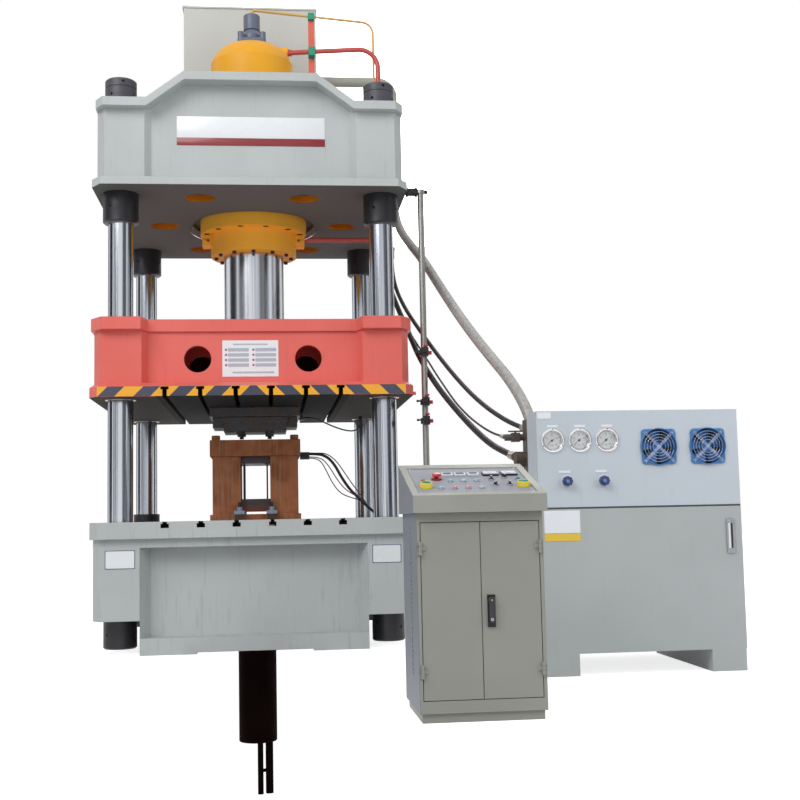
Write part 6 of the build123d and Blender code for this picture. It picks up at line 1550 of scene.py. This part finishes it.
@dataclass
class PowerUnit:
    """The instruments on the power unit's front, its blank labels and its level gauge."""

    face: float = PANEL_FACE
    gauge_x: tuple[float, ...] = (1.663, 1.817, 1.971)
    knob_x: tuple[float, ...] = (1.735, 1.943)
    fan_x: tuple[float, ...] = (2.265, 2.547)
    level: Point = (2.657, PANEL_FACE, 0.743)
    label: Finish = plain("label_white", (236, 240, 246), 0.35, coat=0.3, scale=4.0, mottle=0.1)
    yellow: Finish = plain("label_yellow", (232, 196, 60), 0.35, coat=0.3, scale=4.0, mottle=0.1)
    seal: Finish = plain("seam_seal", (70, 74, 78), 0.7, scale=20.0)
    tube: Finish = plain("level_tube", (238, 240, 236), 0.15, coat=0.6, scale=20.0, mottle=0.1)

    def build(self) -> None:
        """Make them all."""
        for number, (x, body) in enumerate(zip(self.gauge_x, (Body.NEEDLE_1, Body.NEEDLE_2, Body.NEEDLE_3)), 1):
            Gauge(number, x, body).build()
        HandKnob("left", self.knob_x[0], Body.LEFT_KNOB).build()
        HandKnob("right", self.knob_x[1], Body.RIGHT_KNOB).build()
        Fan("left", self.fan_x[0], Body.LEFT_ROTOR).build()
        Fan("right", self.fan_x[1], Body.RIGHT_ROTOR).build()
        self.labels()
        seal = block((1.5765, self.face - 0.0012, 0.9085), (2.7215, self.face + 0.002, 0.9175))
        mounted("panel_seal", [painted(soften(seal, 0.0008), self.seal)], Body.FRAME)
        self.level_gauge()

    def labels(self) -> None:
        """Put up the blank strips over gauges and knobs and the two larger labels."""
        strips = [(x, 1.366, 0.062, 0.013, self.label) for x in self.gauge_x]
        strips += [(x - 0.012, 1.113, 0.066, 0.014, self.label) for x in self.knob_x]
        strips += [(1.618, 1.426, 0.078, 0.036, self.label), (1.702, 0.838, 0.202, 0.124, self.label)]
        strips += [(1.702, 0.753, 0.202, 0.042, self.yellow)]
        parts = []
        for x, z, wide, high, finish in strips:
            strip = slab((0, 0), (wide, high), 0.0002, 0.0012, corner=0.002, edge=0.0002)
            parts.append(painted(strip, finish, upright((x, self.face, z))))
        mounted("unit_labels", parts, Body.FRAME)

    def level_gauge(self) -> None:
        """Make the level gauge: frame, glass tube beside its dark slot, and two bolts."""
        parts = [painted(slab((0, 0), (0.046, 0.194), 0.0, 0.009, corner=0.01, edge=0.0015), SILVER)]
        parts.append(painted(slab((0.006, 0), (0.011, 0.14), 0.008, 0.0096, corner=0.004), BLACK))
        tube = [(0, -0.07), (0.0058, -0.07), (0.0062, -0.066), (0.0062, 0.066), (0.0058, 0.07), (0, 0.07)]
        parts.append(turned(tube, self.tube, shift(x=-0.008, z=0.0085) @ Matrix.Rotation(-pi / 2, 4, "X"), 24))
        bolt = [(0, 0.0138), (0.0075, 0.0136), (0.0088, 0.0125), (0.009, 0.0085), (0, 0.0085)]
        parts += [turned(bolt, SILVER, shift(y=end), 6) for end in (-0.083, 0.083)]
        mounted("oil_level", parts, Body.FRAME, upright(self.level), "level_gauge")


@dataclass
class ControlDesk:
    """The console's panel sheet with its fittings, the handle and the louvres."""

    origin: Point = (1.006, -4.35167, 0.96518)
    tilt: float = radians(15.39)
    low: float = 0.0013
    hole: float = 0.0092
    palms: tuple[tuple[float, float], ...] = ((-0.215, 0.15), (0.222, 0.15))
    stop: tuple[float, float] = (-0.15, 0.298)
    handle: Point = (1.047, -4.3283, 0.515)
    rim: float = 0.01
    louvre_low: float = 0.18
    louvre_pitch: float = 0.0195
    louvres: int = 34
    sheet: Finish = plain("desk_sheet", (152, 155, 164), 0.6, specular=0.12, mottle=0.3)
    yellow: Finish = moulded("collar_yellow", (236, 214, 60), coat=0.3)
    green: Finish = moulded("cap_green", (20, 120, 92), 0.5, specular=0.2)
    teal: Finish = moulded("cap_teal", (36, 132, 132), 0.5, specular=0.2)
    red: Finish = moulded("cap_red", (206, 40, 44), 0.28, coat=0.5)
    maroon: Finish = moulded("cap_maroon", (150, 34, 44), 0.5, specular=0.2)
    rose: Finish = moulded("cap_rose", (222, 96, 112), 0.3, coat=0.4)
    sky: Finish = moulded("cap_sky", (130, 176, 196), 0.4, coat=0.1)
    ice: Finish = moulded("cap_ice", (176, 196, 206), 0.4, coat=0.1)
    lilac: Finish = moulded("meter_face", (176, 180, 196), 0.4)
    black: Finish = plain("moulded_black", (30, 30, 34), 0.38, coat=0.2, scale=24.0, rub=0.3)
    white: Finish = plain("frame_white", (214, 217, 222), 0.5, specular=0.2, scale=20.0, mottle=0.1)
    window: Finish = plain("display_window", (44, 48, 66), 0.5, specular=0.15, scale=20.0, mottle=0.3)
    cabinet: Finish = plain("louvre_paint", (140, 146, 156), 0.5, scale=8.0, mottle=0.3)

    def build(self) -> None:
        """Make every fitting."""
        self.panel()
        self.caps()
        self.buttons()
        self.selectors()
        self.dials()
        self.swing_handle()
        self.side_louvres()

    def place(self, u: float = 0.0, v: float = 0.0) -> Matrix:
        """Give the place of a spot on the sloping panel."""
        return upright(self.origin, self.tilt) @ shift(u, v)

    def fix(self, name: str, parts: Sequence[Piece]) -> None:
        """Join fittings into a piece that stands for the CAD panel's."""
        mounted(name, parts, Body.FRAME, None, "panel_controls")

    def panel(self) -> None:
        """Lay the pale sheet in the desk's recess, with holes for the stems and corner screws."""
        sheet = slab((0, 0.28), (0.518, 0.464), 0.0003, self.low, corner=0.004, edge=0.0003)
        for u, v in (*self.palms, self.stop):
            sheet = bored(sheet, u, v, self.hole, 32)
        head = [(0, 0.0032), (0.0028, 0.003), (0.0042, 0.002), (0.0044, 0.001), (0, 0.001)]
        spots = [(u, v) for u in (-0.249, 0.249) for v in (0.058, 0.502)]
        screws = [turned(head, CHROME, self.place(u, v), 16) for u, v in spots]
        self.fix("desk_panel", [painted(sheet, self.sheet, self.place()), *screws])

    def mushroom(self, place: Matrix, finish: Finish, radius: float, top: float) -> Piece:
        """Turn a mushroom cap on its stem."""
        return turned([
            (0, top + 0.0006), (radius * 0.5, top), (radius * 0.82, top - 0.0014), (radius * 0.97, top - 0.005),
            (radius, top - 0.009), (radius * 0.96, 0.0185), (0.0115, 0.0172), (0.0082, 0.0165),
            (0.0078, 0.0076), (0, 0.0076),
        ], finish, place, 48)

    def collar(self, place: Matrix, finish: Finish, radius: float, rim: float) -> Piece:
        """Turn the guard collar round a stem, a cup up to the rim's height where that is over the base's."""
        profile = [(0.0095, self.low), (radius, self.low), (radius, rim - 0.0015), (radius - 0.001, rim)]
        if rim > self.rim:
            profile += [(radius - 0.0026, rim), (radius - 0.0032, rim - 0.001), (radius - 0.0032, self.rim)]
        return painted(spun([*profile, (0.0125, self.rim), (0.0095, 0.007)], sides=48), finish, place)

    def caps(self) -> None:
        """Make the two palm buttons and the emergency stop with their collars."""
        collars = []
        palm, cup = (0.0215, 0.03), (self.yellow, 0.0275, 0.0275)
        left, right = self.palms
        for spot, cap, collar, name, body, slot, stands_for in (
            (left, (self.green, *palm), cup, "palm_cap_left", Body.LEFT_PALM, Slot.GREEN_CAP, "palm_button_left"),
            (right, (self.teal, *palm), cup, "palm_cap_right", Body.RIGHT_PALM, Slot.BLUE_CAP, "palm_button_right"),
            (self.stop, (self.red, 0.0205, 0.0325), (self.maroon, 0.024, self.rim), "stop_cap", Body.STOP,
             Slot.RED_CAP, "emergency_stop"),
        ):
            place = self.place(*spot)
            collars.append(self.collar(place, *collar))
            mounted(name, [self.mushroom(place, *cap)], body, None, stands_for)
        self.fix("button_collars", collars)

    def buttons(self) -> None:
        """Make the lamps and push buttons: bright bezels with coloured caps."""
        low = self.low
        bezel = [(0.01, low), (0.0145, low), (0.0145, 0.004), (0.0132, 0.0062), (0.0112, 0.0064), (0.0102, 0.005)]
        cap = [(0, 0.0118), (0.006, 0.0114), (0.0092, 0.0098), (0.0101, 0.0068), (0.0101, low), (0, low)]
        parts = []
        for u, v, finish in (
            (-0.09, 0.26, self.sky), (-0.03, 0.26, self.ice), (0.032, 0.26, self.sky),
            (-0.15, 0.13, self.sky), (-0.09, 0.13, self.rose), (-0.03, 0.13, self.rose),
            (0.032, 0.13, self.ice), (0.222, 0.277, self.green), (-0.215, 0.263, self.maroon),
        ):
            parts.append(painted(spun(bezel, sides=32), SILVER, self.place(u, v)))
            parts.append(turned(cap, finish, self.place(u, v)))
        self.fix("push_buttons", parts)

    def selectors(self) -> None:
        """Make the black selector knobs on their bright rings."""
        ring = [(0, self.low), (0.0148, self.low), (0.0148, 0.0042), (0.0134, 0.0062), (0, 0.0066)]
        base = [(0, 0.0064), (0.0118, 0.0064), (0.0118, 0.0095), (0.0105, 0.0108), (0, 0.011)]
        parts = []
        for u, v, angle in ((0.1, 0.28, 0), (0.166, 0.315, 30), (0.1, 0.171, -30), (0.166, 0.18, 0)):
            place = self.place(u, v)
            parts += [turned(ring, SILVER, place), turned(base, self.black, place)]
            grip = slab((0, 0), (0.009, 0.025), 0.01, 0.0205, corner=0.003, edge=0.0012)
            parts.append(painted(grip, self.black, place @ turn(angle)))
        self.fix("selector_knobs", parts)

    def dials(self) -> None:
        """Make the three displays and the two meters at the back of the panel."""
        parts = []
        for u in (-0.09, -0.03, 0.032):
            place = self.place(u, 0.378)
            parts.append(painted(slab((0, 0), (0.051, 0.051), self.low, 0.011, edge=0.0012), self.white, place))
            window = slab((0, 0.004), (0.038, 0.026), 0.0106, 0.0118, corner=0.002)
            keys = slab((0, -0.017), (0.036, 0.007), 0.0106, 0.0122, corner=0.002)
            parts += [painted(window, self.window, place), painted(keys, self.lilac, place)]
        for u, v in ((0.112, 0.382), (0.2, 0.384)):
            place = self.place(u, v)
            case = slab((0, 0), (0.075, 0.063), self.low, 0.0115, corner=0.004, edge=0.0014)
            face = slab((0, 0.005), (0.062, 0.04), 0.011, 0.0122, corner=0.002)
            parts += [painted(case, self.black, place), painted(face, self.lilac, place)]
            place = place @ shift(y=-0.014)
            for step in range(9):
                mark = block((-0.0003, 0.03, 0.012), (0.0003, 0.034, 0.0126))
                parts.append(painted(mark, self.black, place @ turn(40 - 10 * step)))
            pointer = block((-0.0004, 0.0, 0.0124), (0.0004, 0.031, 0.013))
            parts.append(painted(pointer, self.black, place @ turn(32)))
        self.fix("displays_and_meters", parts)

    def swing_handle(self) -> None:
        """Make the black swing handle with its bright lock."""
        grip = slab((0, -0.046), (0.024, 0.104), 0.0005, 0.0135, corner=0.01, edge=0.003)
        eye = [(0.0062, 0.0005), (0.016, 0.0005), (0.016, 0.0125), (0.0145, 0.0155), (0.0085, 0.0155), (0.0062, 0.013)]
        lock = [(0, 0.0165), (0.0062, 0.0163), (0.0072, 0.015), (0.0074, 0.0125), (0, 0.0125)]
        parts = [
            painted(grip, self.black), turned(lock, SILVER, shift(y=-0.082), 28),
            painted(block((-0.0006, -0.0855, 0.016), (0.0006, -0.0785, 0.0169)), self.black),
            painted(spun(eye), self.black),
        ]
        mounted("swing_handle", parts, Body.HANDLE, upright(self.handle), "door_handle")

    def side_louvres(self) -> None:
        """Press a column of small hooded slots into the cabinet's side sheets."""
        parts = []
        for side, x in ((-1, 0.728), (1, 1.284)):
            for step in range(self.louvres):
                z = self.louvre_low + self.louvre_pitch * step
                hood = block((x, -4.1, z), (x + side * 0.004, -4.062, z + 0.0085))
                pick_faces(hood, lambda face: face.normal.z > 0.9)
                bpy.ops.transform.resize(value=(0.2, 0.9, 1))
                bpy.ops.transform.translate(value=(-side * 0.0015, 0, 0))
                deselect()
                parts.append(painted(hood, self.cabinet))
        mounted("side_louvres", parts, Body.FRAME)


@dataclass
class DrainPipes:
    """The thin bright drain pipes from the gland's lugs up to the crown, and the joints at the lugs."""

    lug: Point = (0.3535, -0.072, 3.078)
    radius: float = 0.0045
    steel: Finish = plain("drain_steel", (226, 228, 230), 0.2, metallic=0.9, scale=20.0, mottle=0.2)
    brass: Finish = plain("drain_joint", (150, 92, 66), 0.35, metallic=0.7, scale=20.0, mottle=0.3)

    def build(self) -> None:
        """Make one at each side."""
        x, y, z = self.lug
        joint = [(0, 0.018), (0.01, 0.018), (0.012, 0.015), (0.012, 0.004), (0.016, 0.002), (0.016, -0.004)]
        run = (
            (0.0, 0.0, 0.0), (0.03, -0.07, -0.012), (0.1, -0.08, 0.02), (0.145, -0.02, 0.075), (0.14, 0.08, 0.12),
            (0.12, 0.14, 0.138),
        )
        parts = []
        for side in (-1, 1):
            points = [(side * (x + out), y + back, z + up) for out, back, up in run]
            parts.append(wire(points, self.radius, self.steel, sides=3))
            parts.append(turned([*joint, (0, -0.004)], self.brass, upright((side * x, y + 0.006, z)), 24))
        mounted("drain_pipes", parts, Body.FRAME)


@dataclass
class PoleFittings:
    """The black stud with its nuts that holds the pole to the crown, and the red star grips of the switches."""

    foot: Point = (1.1035, -1.0, 3.223)
    reach: float = 0.082
    radius: float = 0.0285
    pitch: float = 0.006
    depth: float = 0.0016
    switches: tuple[float, ...] = (2.052, 1.698, 1.564)
    grip: Point = (1.219, -1.056, 0.031)
    black: Finish = plain("stud_black", (32, 32, 36), 0.42, metallic=0.4, scale=20.0, rub=0.5)
    red: Finish = plain("grip_red", (196, 36, 58), 0.35, coat=0.3, scale=20.0, mottle=0.3)

    def build(self) -> None:
        """Make the stud and the grips."""
        thread = [(0, 0.0)]
        for number in range(round(self.reach / self.pitch)):
            start = number * self.pitch
            thread += [(self.radius, start + 0.0008), (self.radius, start + 0.003)]
            thread += [(self.radius - self.depth, start + 0.0045)]
        parts = [turned([*thread, (0, self.reach)], self.black)]
        for start in (0.0004, self.reach - 0.0164):
            nut = [(0, start), (0.034, start), (0.036, start + 0.002), (0.036, start + 0.014), (0.034, start + 0.016)]
            parts.append(turned([*nut, (0, start + 0.016)], self.black, sides=6))
        tail = [(0, 0.127), (0.009, 0.127), (0.009, 0.158), (0.007, 0.16), (0, 0.16)]
        nut = [(0, 0.1415), (0.016, 0.1415), (0.017, 0.143), (0.017, 0.151), (0.016, 0.1525), (0, 0.1525)]
        parts += [turned(tail, self.black, sides=20), turned(nut, self.black, sides=6)]
        along = Matrix.Translation(self.foot) @ Matrix.Rotation(pi / 2, 4, "Y")
        mounted("pole_stud", parts, Body.FRAME, along)
        x, y, up = self.grip
        star = [(0, 0.0), (0.006, 0.0), (0.007, 0.006), (0.015, 0.009), (0.0165, 0.013), (0.015, 0.021), (0, 0.023)]
        stars = [turned(star, self.red, shift(x, y, height + up - 0.0003), 24) for height in self.switches]
        mounted("switch_grips", stars, Body.FRAME)


def dress_cad() -> None:
    """Give every CAD node that stays its finish."""
    finishes = cad_finishes()
    for name, finish in finishes.items():
        painted(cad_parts[name], finish)
    LOG.info("dressed %d CAD nodes", len(finishes))


def main() -> None:
    """Build the studio, the cords and every dressed piece, in that order."""
    logging.basicConfig(level=logging.INFO, format="%(name)s: %(message)s")
    bpy.context.scene.view_settings.view_transform = "Standard"
    Studio().build()
    Hoses().build()
    dress_cad()
    for group in (Plates(), DrainPipes(), PoleFittings(), PowerUnit(), ControlDesk()):
        group.build()


if __name__ == "__main__":
    main()
